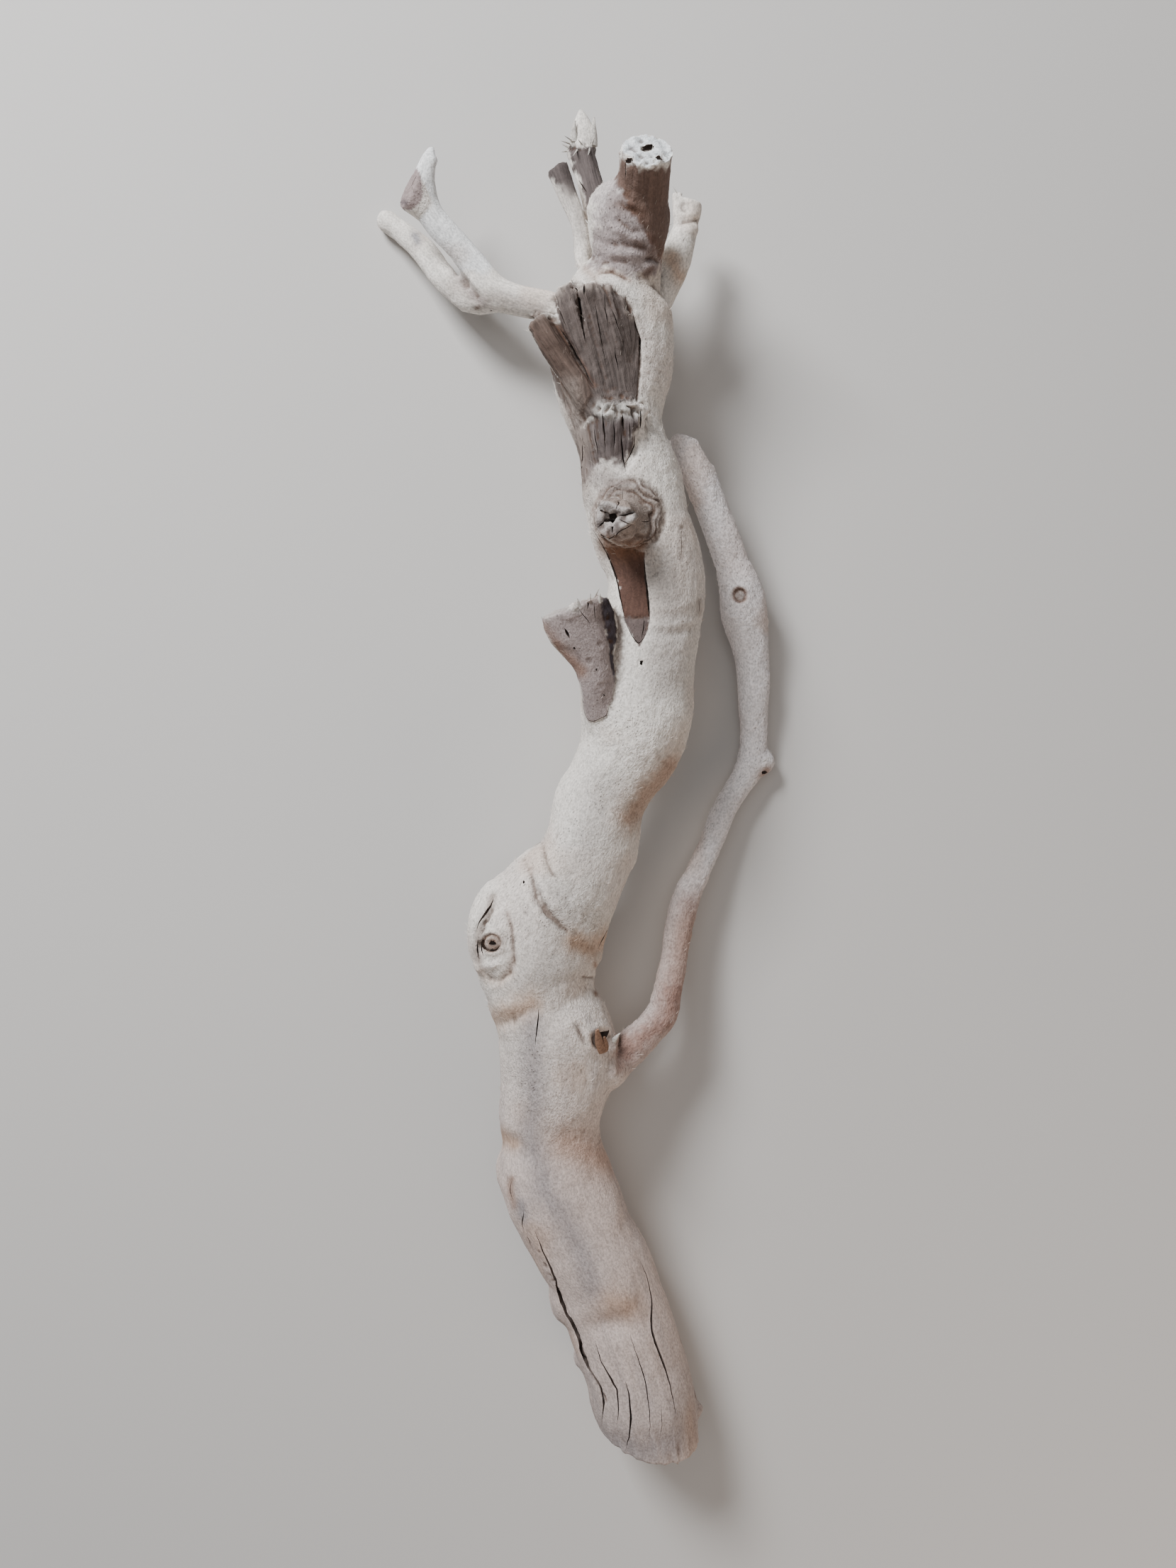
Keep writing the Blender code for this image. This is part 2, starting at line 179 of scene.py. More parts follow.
# Its grain: the limbs' axes with their radii, measured from under the eye. Vine fibres
# run along each limb, so every point of the skin is told its limb, how far along it lies
# and its place across it.
LIMBS = {
    "trunk": [
        (44, -420, 32, 28), (33, -371, 33, 32), (12, -304, 41, 31), (-11, -255, 46, 32), (-22, -212, 49, 29),
        (-18, -166, 53, 34), (-26, -130, 55, 32), (-29, -95, 55, 38), (-19, -69, 55, 35), (-4, -48, 56, 29),
        (4, -26, 56, 27), (11, -3, 55, 27), (27, 32, 56, 32), (36, 78, 58, 29), (40, 109, 58, 29),
        (30, 151, 60, 29), (20, 197, 60, 27), (14, 238, 60, 34), (17, 281, 62, 31), (22, 297, 65, 22),
        (23, 321, 76, 23), (25, 343, 81, 20),
    ],
    "side cane": [
        (20, -163, 47, 11), (32, -152, 44, 10), (44, -139, 40, 10), (51, -112, 34, 8.5), (60, -71, 25, 9),
        (76, -38, 19, 8), (93, -3, 13, 8), (101, 10, 10.5, 9.3), (104, 42, 13, 9), (102, 79, 17, 11),
        (96.5, 107, 22, 14), (88.5, 135, 27, 11), (75.5, 168, 33, 10), (58, 212, 39, 10.5),
    ],
    "forked cane": [(8, 278, 52, 10), (-30, 287, 45, 9), (-59, 297, 40, 11), (-67, 304, 39, 10)],
    "upper prong": [
        (-60, 300, 41, 9), (-77, 322, 42, 7.6), (-94, 341, 46, 8), (-97, 361, 49, 6.3), (-92.5, 380, 51, 4),
    ],
    "upper prong knot": [(-96, 344, 47, 7), (-111, 354, 55, 10)],
    "lower prong": [
        (-60, 294, 38, 9), (-82, 304, 28, 8.2), (-101, 330, 18, 8), (-119, 349, 9.5, 7), (-133, 358, 7.5, 5),
    ],
    "brown stub": [(28, 314, 66, 17), (30, 326, 82, 15.5), (31.5, 336, 96, 14.6), (33, 352, 121, 14.6)],
    "thin stub": [(6, 296, 50, 6), (-3.5, 315, 51, 5), (-8, 339, 53, 5), (-21, 371, 55, 7)],
    "splinter stub": [(16, 305, 46, 9), (8, 337, 43, 8), (-2, 373, 40, 8), (-5, 408, 40, 5)],
    "right stub": [(34, 280, 48, 12), (49, 307, 40, 10.5), (60, 339, 37, 6.6), (64, 358, 37, 6.4)],
    "dead slab": [(16, 212, 75, 13), (12, 233, 80, 17), (4, 258, 87, 20), (-2.5, 278, 93, 17)],
    "slab prong": [(7, 213, 80, 9), (-14, 241, 85, 8.5), (-30, 265, 88, 7)],
    "broken tier": [(18, 180, 75, 8), (19, 203, 87.5, 12.5), (19, 214, 91, 12)],
    "knot stub": [(25, 147, 70, 16), (22, 146, 88, 14), (13, 145, 114, 11)],
    "grey stub": [(6, 36, 70, 9), (3, 68, 83, 11.5), (-8, 89, 90, 16), (-11, 112, 98, 17)],
}
GRAIN_STEP = 3.0
POINTS_AT_ONCE = 20000


def runs_of(line):
    """How far along a line each of its points lies."""
    return np.concatenate(((0.0,), np.cumsum(np.linalg.norm(np.diff(line, axis=0), axis=1))))


def ease_corners(line, rounds):
    for _ in range(rounds):
        line[1:-1] = (line[:-2] + 2 * line[1:-1] + line[2:]) / 4


def limb_axes():
    """Close points on the limbs' axes: limb, run, point, radius, and the ways along, wide and deep."""
    rows = []
    for number, stations in enumerate(LIMBS.values()):
        stations = np.array(stations, dtype=float)
        stations[:, :2] += EYE[:2]
        run = runs_of(stations[:, :3])
        steps = np.linspace(0, run[-1], int(run[-1] / GRAIN_STEP) + 2)
        line = np.column_stack([np.interp(steps, run, stations[:, k]) for k in range(4)])
        ease_corners(line, 4)
        along = unit(np.gradient(line[:, :3], axis=0))
        upright = abs(along[:, 2]).mean() > 0.6
        wide = unit(np.cross(along, (0, 1, 0) if upright else (0, 0, 1)))
        deep = np.cross(wide, along)
        rows.append(np.column_stack((np.full(len(steps), number), steps, line, along, wide, deep)))
    return np.concatenate(rows)


AXES = limb_axes()


def grain_of(points, known_limb=None):
    """Each point's limb, its place in the grain, the grain's way, and its clearance of seams."""
    axis_points, radii, numbers = AXES[:, 2:5], AXES[:, 5], AXES[:, 0].astype(int)
    starts = np.flatnonzero(np.diff(numbers, prepend=-1))
    nearest = np.empty(len(points), dtype=int)
    clear = np.empty(len(points))
    for start in range(0, len(points), POINTS_AT_ONCE):
        part = slice(start, start + POINTS_AT_ONCE)
        some = points[part]
        far = (some**2).sum(1)[:, None] + (axis_points**2).sum(1) - 2 * some @ axis_points.T
        far = np.sqrt(np.maximum(far, 0)) / radii
        if known_limb is not None:
            far[numbers != known_limb[part, None]] = 1e9
        nearest[part] = far.argmin(1)
        limbs = np.partition(np.minimum.reduceat(far, starts, axis=1), 1, axis=1)
        clear[part] = limbs[:, 1] - limbs[:, 0]
    here = AXES[nearest]
    off = points - here[:, 2:5]
    along, across, through = [(off * here[:, column : column + 3]).sum(1) for column in (6, 9, 12)]
    grain = np.column_stack((across, through, here[:, 1] + along))
    return here[:, 0].astype(int), grain, here[:, 6:9], clear


def limb_is(numbers, *names):
    order = list(LIMBS)
    return np.isin(numbers, [order.index(name) for name in names])


def swing(places, pitch, seed):
    """A smooth random swing from -1 to 1 over places. The pitch may differ along each direction."""
    places = places / np.asarray(pitch, dtype=float)
    cell = np.floor(places).astype(np.int64)
    part = places - cell
    part = part * part * (3 - 2 * part)
    total = np.zeros(len(places))
    for corner in range(8):
        step = np.array((corner & 1, corner >> 1 & 1, corner >> 2))
        knot = ((cell + step) * (73856093, 19349663, 83492791)).sum(1) + seed * 26544357
        knot = (knot ^ (knot >> 13)) * 1274126177
        knot = ((knot ^ (knot >> 16)) & 0xFFFFF) / 0xFFFFF
        total += np.where(step, part, 1 - part).prod(1) * (2 * knot - 1)
    return total


def eased(values, low, high):
    """0 below low, 1 above high, and a smooth rise between them."""
    share = np.clip((values - low) / (high - low), 0, 1)
    return share * share * (3 - 2 * share)


def fading(away, width):
    """1 on a line, falling off smoothly within a width of it."""
    return np.exp(-((away / width) ** 2))


def from_line(places, line):
    """How far each place lies from a line of points, and its share of the way along."""
    line = np.array(line, dtype=float)
    best = np.full(len(places), 1e9)
    share = np.zeros(len(places))
    runs = runs_of(line)
    for i, (start, end) in enumerate(zip(line, line[1:])):
        step = end - start
        t = np.clip(((places - start) @ step) / (step @ step), 0, 1)
        away = np.linalg.norm(places - start - t[:, None] * step, axis=1)
        closer = away < best
        best[closer] = away[closer]
        share[closer] = (runs[i] + t[closer] * (runs[i + 1] - runs[i])) / runs[-1]
    return best, share


def inside(places, outline):
    """How far each place lies inside a closed outline. Places outside are negative."""
    outline = np.array(outline, dtype=float)
    away, _ = from_line(places, np.vstack((outline, outline[:1])))
    within = np.zeros(len(places), dtype=bool)
    for (x0, y0), (x1, y1) in zip(outline, np.roll(outline, -1, axis=0)):
        crosses = (y0 > places[:, 1]) != (y1 > places[:, 1])
        rise = (places[:, 1] - y0) / (y1 - y0 if y1 != y0 else 1e-9)
        within ^= crosses & (places[:, 0] < x0 + rise * (x1 - x0))
    return np.where(within, away, -away)


# Its relief: folds (half width, height, line), dimples (centre, radius, depth), rings of
# wrinkles round knots (centre, inner, outer, pitch, height), the outlines of dead parts,
# and rims that broke raggedly (reach, height, pitch, line).
RING_KNOT = (-56.3, -93.2)
CANE_EYE = (89, 110.5)
KNOT = (23, 158)
FOLDS = [
    (2.8, -2.2, [(-34, -46), (-33, -57), (-30, -67), (-25, -75), (-18, -81), (-11, -87), (-6, -90)]),
    (3.4, 1.5, [(-28, -44), (-27, -56), (-24, -65), (-19, -71), (-12, -77)]),
    (2.6, 0.8, [(-38, -56), (-35, -68), (-29, -78), (-21, -85)]),
    (1.9, -1.7, [(-27, -35), (-25, -44), (-22, -51), (-17, -56)]),
    (2.0, -0.8, [(-38, -42), (-36, -52)]),
    (6.0, -2.4, [(-10, -93), (0, -97), (10, -94)]),
    (2.6, -1.7, [(-54.8, -65), (-56, -72), (-59.6, -79), (-63, -87)]),
    (1.4, 1.2, [(-56.5, -70), (-60, -77), (-62.5, -83)]),
    (1.9, 0.8, [(-53, -63), (-53.5, -72), (-55, -80)]),
    (1.2, 1.0, ring_of(RING_KNOT, 6.6)),
    (0.9, -1.4, ring_of(RING_KNOT, 4.9)),
    (1.0, 1.0, ring_of(RING_KNOT, 3.0)),
    (1.6, -1.0, [(-62.5, -90), (-64, -98), (-62.5, -105)]),
    (3.0, 2.2, [(-62, -105), (-56, -106), (-49, -105)]),
    (2.2, -1.6, [(-63.5, -109), (-58, -114), (-52, -115.5), (-46, -110.5), (-44.5, -103)]),
    (5.0, 1.9, [(-57, -126), (-50, -130), (-42, -128)]),
    (3.4, -1.5, [(-55, -141), (-46, -139.5), (-38, -135), (-28, -131)]),
    (1.5, -1.0, [(-6.4, -142), (-5, -146), (-2.6, -150.5)]),
    (0.9, -0.9, [(-4, -113), (1, -113.6), (6, -113)]),
    (0.7, -0.9, ring_of(CANE_EYE, 3.9)),
    (1.2, -0.9, [(-47, -76), (-44.5, -85), (-44, -95), (-43, -106)]),
    (1.0, -1.0, [(19, 98), (28, 97.5), (36, 98)]),
    (2.6, 0.8, [(38, 94), (50, 93), (62, 96)]),
    (2.6, 0.7, [(38, 104), (50, 103), (62, 107)]),
    (2.6, -0.8, [(38, 89), (50, 88), (62, 91)]),
    (2.4, -1.4, [(14, 333), (20, 329), (26, 325), (34, 324)]),
    (2.4, 1.6, [(12, 327.5), (20, 323.5), (26, 320), (31, 318)]),
    (2.4, -1.2, [(4, 320), (10, 317), (18, 316), (30, 315), (37, 314)]),
    (2.4, 1.3, [(10, 311), (21, 310.5), (31, 309)]),
    (2.0, -0.9, [(2, 307), (8, 305.5), (16, 306.5), (24, 305)]),
    (1.2, -1.6, [(7, 300), (14, 300.5), (18, 298.5), (22, 296)]),
    (1.7, 1.4, [(31, 300), (35, 303), (40, 304)]),
    (1.6, -2.2, [(34, 307.5), (39, 308), (43, 305.5)]),
    (1.5, -1.2, [(17, 342), (22, 337.5), (27, 336), (32, 334)]),
    (1.5, 1.0, [(18, 345), (23, 341), (28, 339.5)]),
    (7.0, -2.4, [(-2, -321), (8, -318), (22, -317), (31, -320)]),
    (8.0, 1.5, [(8, -303), (20, -304), (28, -306)]),
    (5.0, -1.8, [(-52, -208), (-44, -209), (-38, -213)]),
    (1.6, -1.0, [(-44.5, -232), (-45, -240), (-43, -247)]),
    (3.0, -1.9, [(-77, 298), (-70, 291), (-62, 281)]),
    (1.4, 1.0, [(-72, 300), (-65, 291)]),
    (1.4, -0.5, [(22, -147), (19, -151), (18, -159), (19, -167), (19, -176)]),
    (2.2, 1.9, [(18, -144), (15, -150), (14, -158), (15.5, -168)]),
    (1.8, -2.0, [(51, 329), (57, 330.5), (67, 330)]),
    (2.6, 1.2, [(52, 324), (58, 325), (66, 324)]),
    (1.3, -1.0, [(57, 300), (63, 302)]),
    (2.0, -3.4, [(-21, 273), (-15.5, 265), (-10, 257), (-5, 248), (0, 240), (5, 234)]),
    (4.5, 1.6, [(-29, 270), (-20, 256), (-10, 240), (-3, 226)]),
    (2.6, 1.6, [(-2, 352), (-1, 344), (1, 334)]),
    (4.5, 1.6, [(-90, 369), (-88.5, 362)]),
    (2.0, -2.2, [(20.5, 217), (21, 209), (22, 203)]),
    (1.6, -1.2, [(9, 222), (10, 208), (11, 195)]),
    (1.7, -1.3, [(31, 222), (30.5, 208), (27, 192), (21, 183)]),
    (2.4, 1.3, ring_of((24, 158), 16.5, -150, 300)),
    (2.0, -0.7, ring_of((24, 158), 21.5, -130, 240)),
    (1.2, -1.7, [(13.5, 158), (9, 160), (4, 162)]),
    (1.2, -1.7, [(17, 157.5), (22, 157), (28, 160.5)]),
    (1.2, -1.5, [(12.5, 156), (8.5, 153), (5.5, 149)]),
    (1.2, -1.5, [(15.5, 154.5), (14.5, 150), (13.8, 144.5)]),
    (1.2, -1.5, [(16, 160), (17.5, 164), (20, 168)]),
    (1.1, -1.2, [(17.5, 155.5), (22, 152), (26, 151.5)]),
    (2.0, 0.9, [(-20, 101), (-12, 97), (-6, 100)]),
    (2.4, -1.0, [(-17, 80), (-8, 76), (-3, 70)]),
]
DIMPLES = [
    ((89, 110.6), 4.4, 1.9), ((7.4, -150.0), 6.0, 2.6), ((-65, -279), 2.0, -0.6), ((54.6, 150), 1.4, 0.5),
    ((0.5, 72), 2.4, 0.5), ((8, 58), 2.0, 0.4), ((7, 82), 2.2, 0.5), ((31, 71), 2.4, 0.5),
    ((57, 338), 3.6, 0.7),
]
WRINKLES = [(KNOT, 12, 20.5, 3.8, 0.95), ((89, 105), 5.5, 11, 2.6, 0.25)]
SLAB = [
    (-20.2, 285.5), (-16.8, 290.6), (-11.8, 294), (-7.5, 294.4), (-4.9, 290.6), (-1.6, 294), (5.2, 294),
    (13.7, 292), (16.2, 288), (22.2, 285), (25.6, 279), (28, 270), (30.7, 261), (30.7, 247), (29.8, 237),
    (29, 225), (8, 219), (0, 214), (-7, 205), (-18, 230), (-33, 262), (-36, 271), (-29, 277), (-21, 271),
    (-16, 266),
]
SLAB_PRONG = [
    (-37, 270), (-29, 278), (-20, 271), (-9, 254), (0, 240), (3, 228), (-4, 216), (-9, 214), (-16, 232),
    (-29, 255),
]
TIER = [
    (-7, 206), (2, 214), (6, 222), (8.5, 219), (13, 218), (17, 223), (21, 224), (26, 221), (31, 219.5),
    (30, 209), (26.4, 206), (27, 198), (24, 191), (21, 186), (14, 190), (6, 188), (-3, 176),
]
KNOT_FACE = [
    (4.7, 153), (5.2, 161.6), (7.4, 166), (14.2, 165.4), (19.5, 162.7), (24.8, 162), (30, 156.3),
    (24.8, 152), (18.5, 149), (14.2, 144.2), (10.5, 144.7), (5.2, 149),
]
GREY_PANEL = [
    (-29, 97), (-24, 101), (-16.5, 105.6), (-8.6, 103.4), (-6.4, 109), (-4, 111), (1, 108), (3.6, 111.4),
    (7, 114), (8.4, 109), (8, 105), (10, 91), (12, 82), (13.2, 71), (15.8, 60), (13.7, 49), (11.6, 44.6),
    (11.3, 39.8), (6.8, 38.2), (3.6, 36.3), (0, 37), (-2.2, 41.4), (-2.8, 46), (-4, 57), (-9, 68),
    (-15, 76), (-20, 82), (-26, 91),
]
BARK_STRIP = [
    (8.4, 109.3), (11.6, 109.8), (13.2, 106), (15.3, 101), (16.9, 91), (16.9, 85), (15.3, 78.5),
    (14.8, 73), (15.8, 66), (15.8, 60), (14.5, 61.5), (13.2, 71), (12, 82), (10, 91), (8.4, 98.6),
    (7.9, 105.5),
]
TONGUE = [
    (9, 139), (14, 129), (17.5, 118), (19.5, 106), (21.6, 96), (27, 85), (30, 80), (35.4, 91), (36, 100),
    (35, 111), (33.3, 123), (33, 136), (22, 138),
]
RAGGED_RIMS = [
    (3.2, 1.4, 4.0, [(-20, 285), (-15, 291), (-8, 294), (-5, 291), (0, 293), (13, 291), (20, 285),
                     (27, 274)]),
    (3.2, 1.0, 3.0, [(-35, 272), (-28, 276), (-21, 271)]),
    (4.4, 4.6, 4.8, [(7, 220), (13, 218), (18, 221), (25, 220), (31, 218)]),
    (3.4, 1.6, 3.0, [(-8, 104), (-4, 109), (2, 108), (7, 111)]),
    (3.0, 0.8, 3.0, [(-26, 361), (-18, 365), (-11, 366)]),
    (3.2, 1.8, 3.0, [(-13, 373), (-4, 373), (5, 373)]),
    (2.6, 1.5, 3.0, [(19, 369), (26, 364), (36, 363), (46, 368)]),
]
STUB_END_WAY = (0.06, 0.52, 0.85)
SMOOTH_LIMBS = ("forked cane", "upper prong", "lower prong", "thin stub", "splinter stub", "right stub")


def roughness_of(points, limb):
    """How strongly sandblasting has pitted each point: much in the middle, little at the foot."""
    foot = eased(-points[:, 1], 140, 290) * limb_is(limb, "trunk")
    smooth = limb_is(limb, *SMOOTH_LIMBS)
    return (1 - 0.8 * foot) * (1 - 0.65 * smooth) * (0.75 + 0.35 * swing(points, 26, 17))


def wrinkles(points, places, centre, inner, outer, pitch):
    """Uneven rings round a centre, as waves from -1 to 1."""
    away = np.linalg.norm(places - centre, axis=1)
    reach = eased(away, inner - 1, inner + 1) * (1 - eased(away, outer - 2, outer + 1.5))
    wobble = 3.6 * swing(points, 8, 6) + 1.3 * swing(points, 3.5, 19)
    return reach * np.sin(2 * np.pi * (away + wobble) / pitch)


def relief(points, normals):
    """How far each point of the skin stands out of the solid, in millimetres."""
    places = as_seen(points)
    limb, grain, _, clear = grain_of(points)
    clear = eased(clear, 0.03, 0.30)
    front = eased(normals[:, 2], -0.15, 0.25)

    def on(outline, low, high, height=1.0):
        return height * front * eased(inside(places, outline), low, high)

    rough = roughness_of(points, limb)
    dead = limb_is(limb, "dead slab", "slab prong", "broken tier")
    rise = 0.7 * swing(points, 21, 1) + 0.35 * swing(points, 9, 2)
    low = eased(-points[:, 1], 200, 300) * limb_is(limb, "trunk")
    rise += (0.2 + 0.6 * low) * clear * swing(grain, (7, 7, 70), 3)
    calm = 1 - 0.75 * eased(inside(places, GREY_PANEL), -2, 2) * front
    rise += calm * rough * (0.34 * clear * swing(grain, (2.4, 2.4, 3.4), 4) + 0.26 * swing(points, 1.8, 5))
    for half_width, height, line in FOLDS:
        away, share = from_line(places, line)
        end = np.sin(np.pi * np.clip(0.06 + 0.88 * share, 0, 1)) ** 0.6
        rise += front * height * end * fading(away, half_width)
    for centre, radius, depth in DIMPLES:
        away = np.linalg.norm(places - centre, axis=1) + 0.4 * swing(points, 3, 18)
        lip = 0.3 * fading(away - 1.35 * radius, 0.35 * radius)
        rise += front * depth * (lip - (1 - eased(away, 0.6 * radius, 1.1 * radius)))
    for centre, inner, outer, pitch, height in WRINKLES:
        uneven = 0.6 + 0.6 * swing(points, 6, 20)
        rise += front * height * uneven * wrinkles(points, places, centre, inner, outer, pitch)
    slab_edge = np.maximum(inside(places, SLAB), inside(places, TIER))
    slab = front * eased(slab_edge, -0.8, 0.8)
    ridges = np.abs(swing(grain, (3.4, 3.4, 44), 7)) + 0.35 * np.abs(swing(grain, (1.3, 1.3, 14), 8))
    rise += slab * clear * (0.9 - 2.0 * ridges) + dead * (1 - slab) * 0.3 * swing(grain, (2, 2, 20), 9)
    rise += -0.9 * front * fading(slab_edge, 0.9) * (places[:, 0] > 22)
    rise += on(SLAB_PRONG, -0.5, 2.5, 0.8)
    rise += on(BARK_STRIP, -0.6, 0.6) * (0.4 + 0.9 * swing(points, (1.6, 3.2, 3), 10))
    panel = on(GREY_PANEL, -0.5, 0.5)
    rise += panel * (1 - eased(places[:, 1], 48, 84)) - 0.15 * panel
    rise -= on(TONGUE, -0.4, 0.4, 0.5)
    rise += on(KNOT_FACE, -0.5, 1.0) * (0.9 + 1.7 * swing(points, 3.4, 11))
    for reach, height, pitch, line in RAGGED_RIMS:
        away, _ = from_line(places, line)
        near = fading(away, reach) * eased(points[:, 2], 30, 40)
        rise += near * height * (swing(points, pitch, 12) + 0.5 * swing(points, 0.5 * pitch, 13))
    sawn = limb_is(limb, "brown stub") * eased(normals @ STUB_END_WAY, 0.75, 0.92)
    rise += sawn * (1.7 * swing(points, 4.6, 14) + 0.9 * swing(points, 2.1, 15))
    foot = eased(-places[:, 1], 372, 392) * limb_is(limb, "trunk")
    rise += foot * 0.9 * swing(grain, (3.2, 3.2, 200), 16)
    level = eased(points[:, 2], 0.3, 5.0)
    return (np.minimum(rise, 0) + level * np.maximum(rise, 0)) * level


def keep_above_table(mesh, points):
    """Moves the mesh to its new points, with none of them under the table."""
    points[:, 2] = np.maximum(points[:, 2], 0.0)
    move_vertices(mesh, points)


points = vertex_positions(wood.data)
normals = vertex_normals(wood.data)
points += normals * relief(points, normals)[:, None]
keep_above_table(wood.data, points)

# Its cracks and holes. Vine wood splits along its grain as it dries, so each crack is a
# thin wedge under a line: width, depth and line. A hole has its mouth, radii and depth.
CRACKS = [
    (2.7, 6, [(-31, -262), (-27, -273), (-20, -288), (-16.5, -300), (-13, -310), (-6.5, -320), (-3, -333),
              (1, -343), (8, -354), (9.5, -362), (8, -376)]),
    (1.1, 7, [(4, -326), (7.5, -338), (12, -346), (17, -355), (18, -364), (17, -376)]),
    (1.1, 6, [(21.5, -349), (24, -358), (25.2, -371), (24.4, -381), (22, -391)]),
    (0.6, 4, [(24.4, -319), (25.6, -327), (30.4, -340), (33.6, -350), (35.6, -364), (36.4, -375),
              (35.6, -387)]),
    (1.5, 7, [(30, -278), (34.4, -288), (37.6, -303), (37, -318), (39, -327), (43, -336), (47, -348),
              (50.3, -362), (52, -373)]),
    (0.4, 2, [(43, -362), (43.5, -376), (42, -385)]),
    (0.8, 4, [(-38, -250), (-37.2, -253), (-39.5, -257), (-37, -262)]),
    (0.7, 4, [(-36, -264), (-33, -271)]),
    (0.6, 4, [(-45, -232), (-46, -238), (-44, -244)]),
    (0.7, 5, [(-28.6, -130), (-29, -138), (-30.7, -148), (-30.7, -154)]),
    (1.0, 6, [(16.2, -77), (11, -86), (5.6, -97)]),
    (1.0, 6, [(-3.5, 203), (-3.3, 191), (-4.3, 180), (-4, 174), (-2, 163)]),
    (1.2, 6, [(1.5, 151), (8.9, 139.4), (13.7, 129), (17.4, 118), (19.5, 106.5), (21.6, 96)]),
    (1.4, 6, [(32.8, 134), (33.3, 123.5), (34.9, 111), (36, 100), (36, 94)]),
    (0.5, 3, [(21.6, 96), (24, 90), (27, 85.3), (29.5, 81), (33, 86), (35.8, 93)]),
    (0.5, 3, [(32.8, 98), (32.4, 91), (31.2, 84)]),
    (1.7, 9, [(-7, 293), (-5.8, 286), (-4.5, 278), (-3.3, 269), (-1.6, 259)]),
    (1.1, 6, [(-2.4, 293), (-2.4, 286)]),
    (0.7, 5, [(13.7, 279), (17, 270), (20.5, 261), (21, 252)]),
    (0.7, 5, [(15.4, 256), (17.9, 242)]),
    (0.6, 4, [(-18.6, 284), (-15.2, 274), (-12.6, 267)]),
    (0.6, 4, [(3.5, 285), (5.2, 274), (7.8, 261), (10.3, 247)]),
    (0.5, 3, [(9, 288), (10.5, 276), (12.5, 265)]),
    (0.5, 3, [(22, 280), (24.5, 268), (26, 255)]),
    (1.2, 6, [(25.6, 278), (27.6, 269), (30.4, 261), (30.4, 249)]),
    (2.0, 7, [(-17, 268), (-13.4, 262.3), (-9.2, 255), (-4.9, 247), (0, 239), (4, 232)]),
    (1.1, 6, [(8.5, 219), (9.4, 208), (10.3, 193)]),
    (1.5, 6, [(20.5, 217), (20.5, 212), (21, 207)]),
    (1.1, 6, [(19.5, 205), (20, 198), (20.9, 190), (22.2, 183)]),
    (0.8, 5, [(24.4, 212), (24.6, 201)]),
    (0.7, 5, [(15, 214), (15.6, 204), (15, 196)]),
    (1.2, 6, [(31, 220), (30.6, 208)]),
    (0.7, 5, [(27.4, 206), (27.2, 198), (23.9, 191), (21.3, 187)]),
    (0.7, 5, [(3.5, 210), (6, 191)]),
    (0.8, 4, [(12.5, 158.3), (9, 160), (5, 161.8)]),
    (0.7, 4, [(17, 157.5), (22, 157), (26.5, 160)]),
    (0.8, 4, [(12.5, 155.8), (8.5, 153), (6.5, 150.5)]),
    (0.7, 4, [(15.5, 154), (14.5, 150), (13.8, 145.5)]),
    (0.7, 4, [(16.4, 160.6), (17.8, 164), (20.3, 168), (20.5, 172.5)]),
    (0.5, 3, [(18, 155.5), (22, 152.6), (26, 152.5)]),
    (0.6, 3, [(30.5, 154), (33.6, 153.6), (37.5, 154.5)]),
    (0.8, 3, [(30, 156.3), (25.5, 151.6), (18.5, 148.6), (14.2, 143.8), (10.5, 144.3), (5, 148.6),
              (4, 154), (4.6, 162)]),
    (1.5, 4, [(-55.4, -66.6), (-56.8, -71.1), (-60.8, -76.5), (-64.4, -81.9), (-65.3, -86.4)]),
    (0.9, 4, [(-64, -90), (-65.4, -95), (-64.2, -100), (-63.6, -106)]),
    (0.6, 3, [(-62, -91), (-62.6, -97), (-61, -101)]),
    (0.8, 1.2, ring_of(RING_KNOT, 5.0, 150, 200)),
    (0.5, 2, [(-3.4, 54), (-2.8, 46), (-2.2, 41.4), (0, 37), (3.6, 36.3), (6.8, 38.2), (11.3, 39.8),
              (12.5, 47)]),
    (1.4, 5, [(-13.6, 91.6), (-12.6, 88.4), (-10.6, 85.2)]),
    (0.5, 3, [(-6, 103.5), (-2, 98), (2, 93)]),
    (0.5, 3, [(3.4, 107), (3.6, 100), (5, 95)]),
    (0.6, 3, [(0, 108), (-0.4, 102)]),
    (0.8, 4, [(3.4, 365), (7.3, 355.5)]),
    (0.9, 5, [(-5.6, 354.5), (-0.6, 346.5)]),
    (0.5, 3, [(-10, 368), (-6.5, 356)]),
    (0.6, 3, [(-104.5, 349), (-100, 357)]),
    (0.4, 2, [(54.6, 151), (54.8, 142), (54.4, 133)]),
    (0.5, 2, [(65.4, 108), (65.2, 100)]),
    (0.7, 3, [(22.5, 366), (22, 359), (21.4, 352)]),
]
HOLES = [
    ((14.7, 157.4), (3.0, 4.2), 16), ((35.0, 373), (3.3, 1.8), 5), ((-56.0, -93.4), (1.9, 1.8), 4),
    ((31.2, 71), (0.9, 1.2), 5), ((103.4, 6.6), (1.9, 1.9), 4), ((-37.7, -57.4), (0.6, 1.1), 3),
    ((23.6, 365), (2.4, 1.2), 2.2), ((42.5, 367), (2.8, 1.2), 2.2), ((-8, 79.5), (0.7, 0.7), 2),
    ((7.4, -149.8), (4.8, 5.4), 8), ((5, 67), (0.5, 0.7), 1.5), ((9.5, 52), (0.6, 0.6), 1.5),
    ((-56.7, 277.4), (0.7, 0.5), 1.5),
]
CRACK_RISE = 2.5
CRACK_GAP = 7.0
THINNING = ((1.0, -2.0, -0.1), (0.6, -0.1, 0.15), (0.35, 0.15, 2.0))


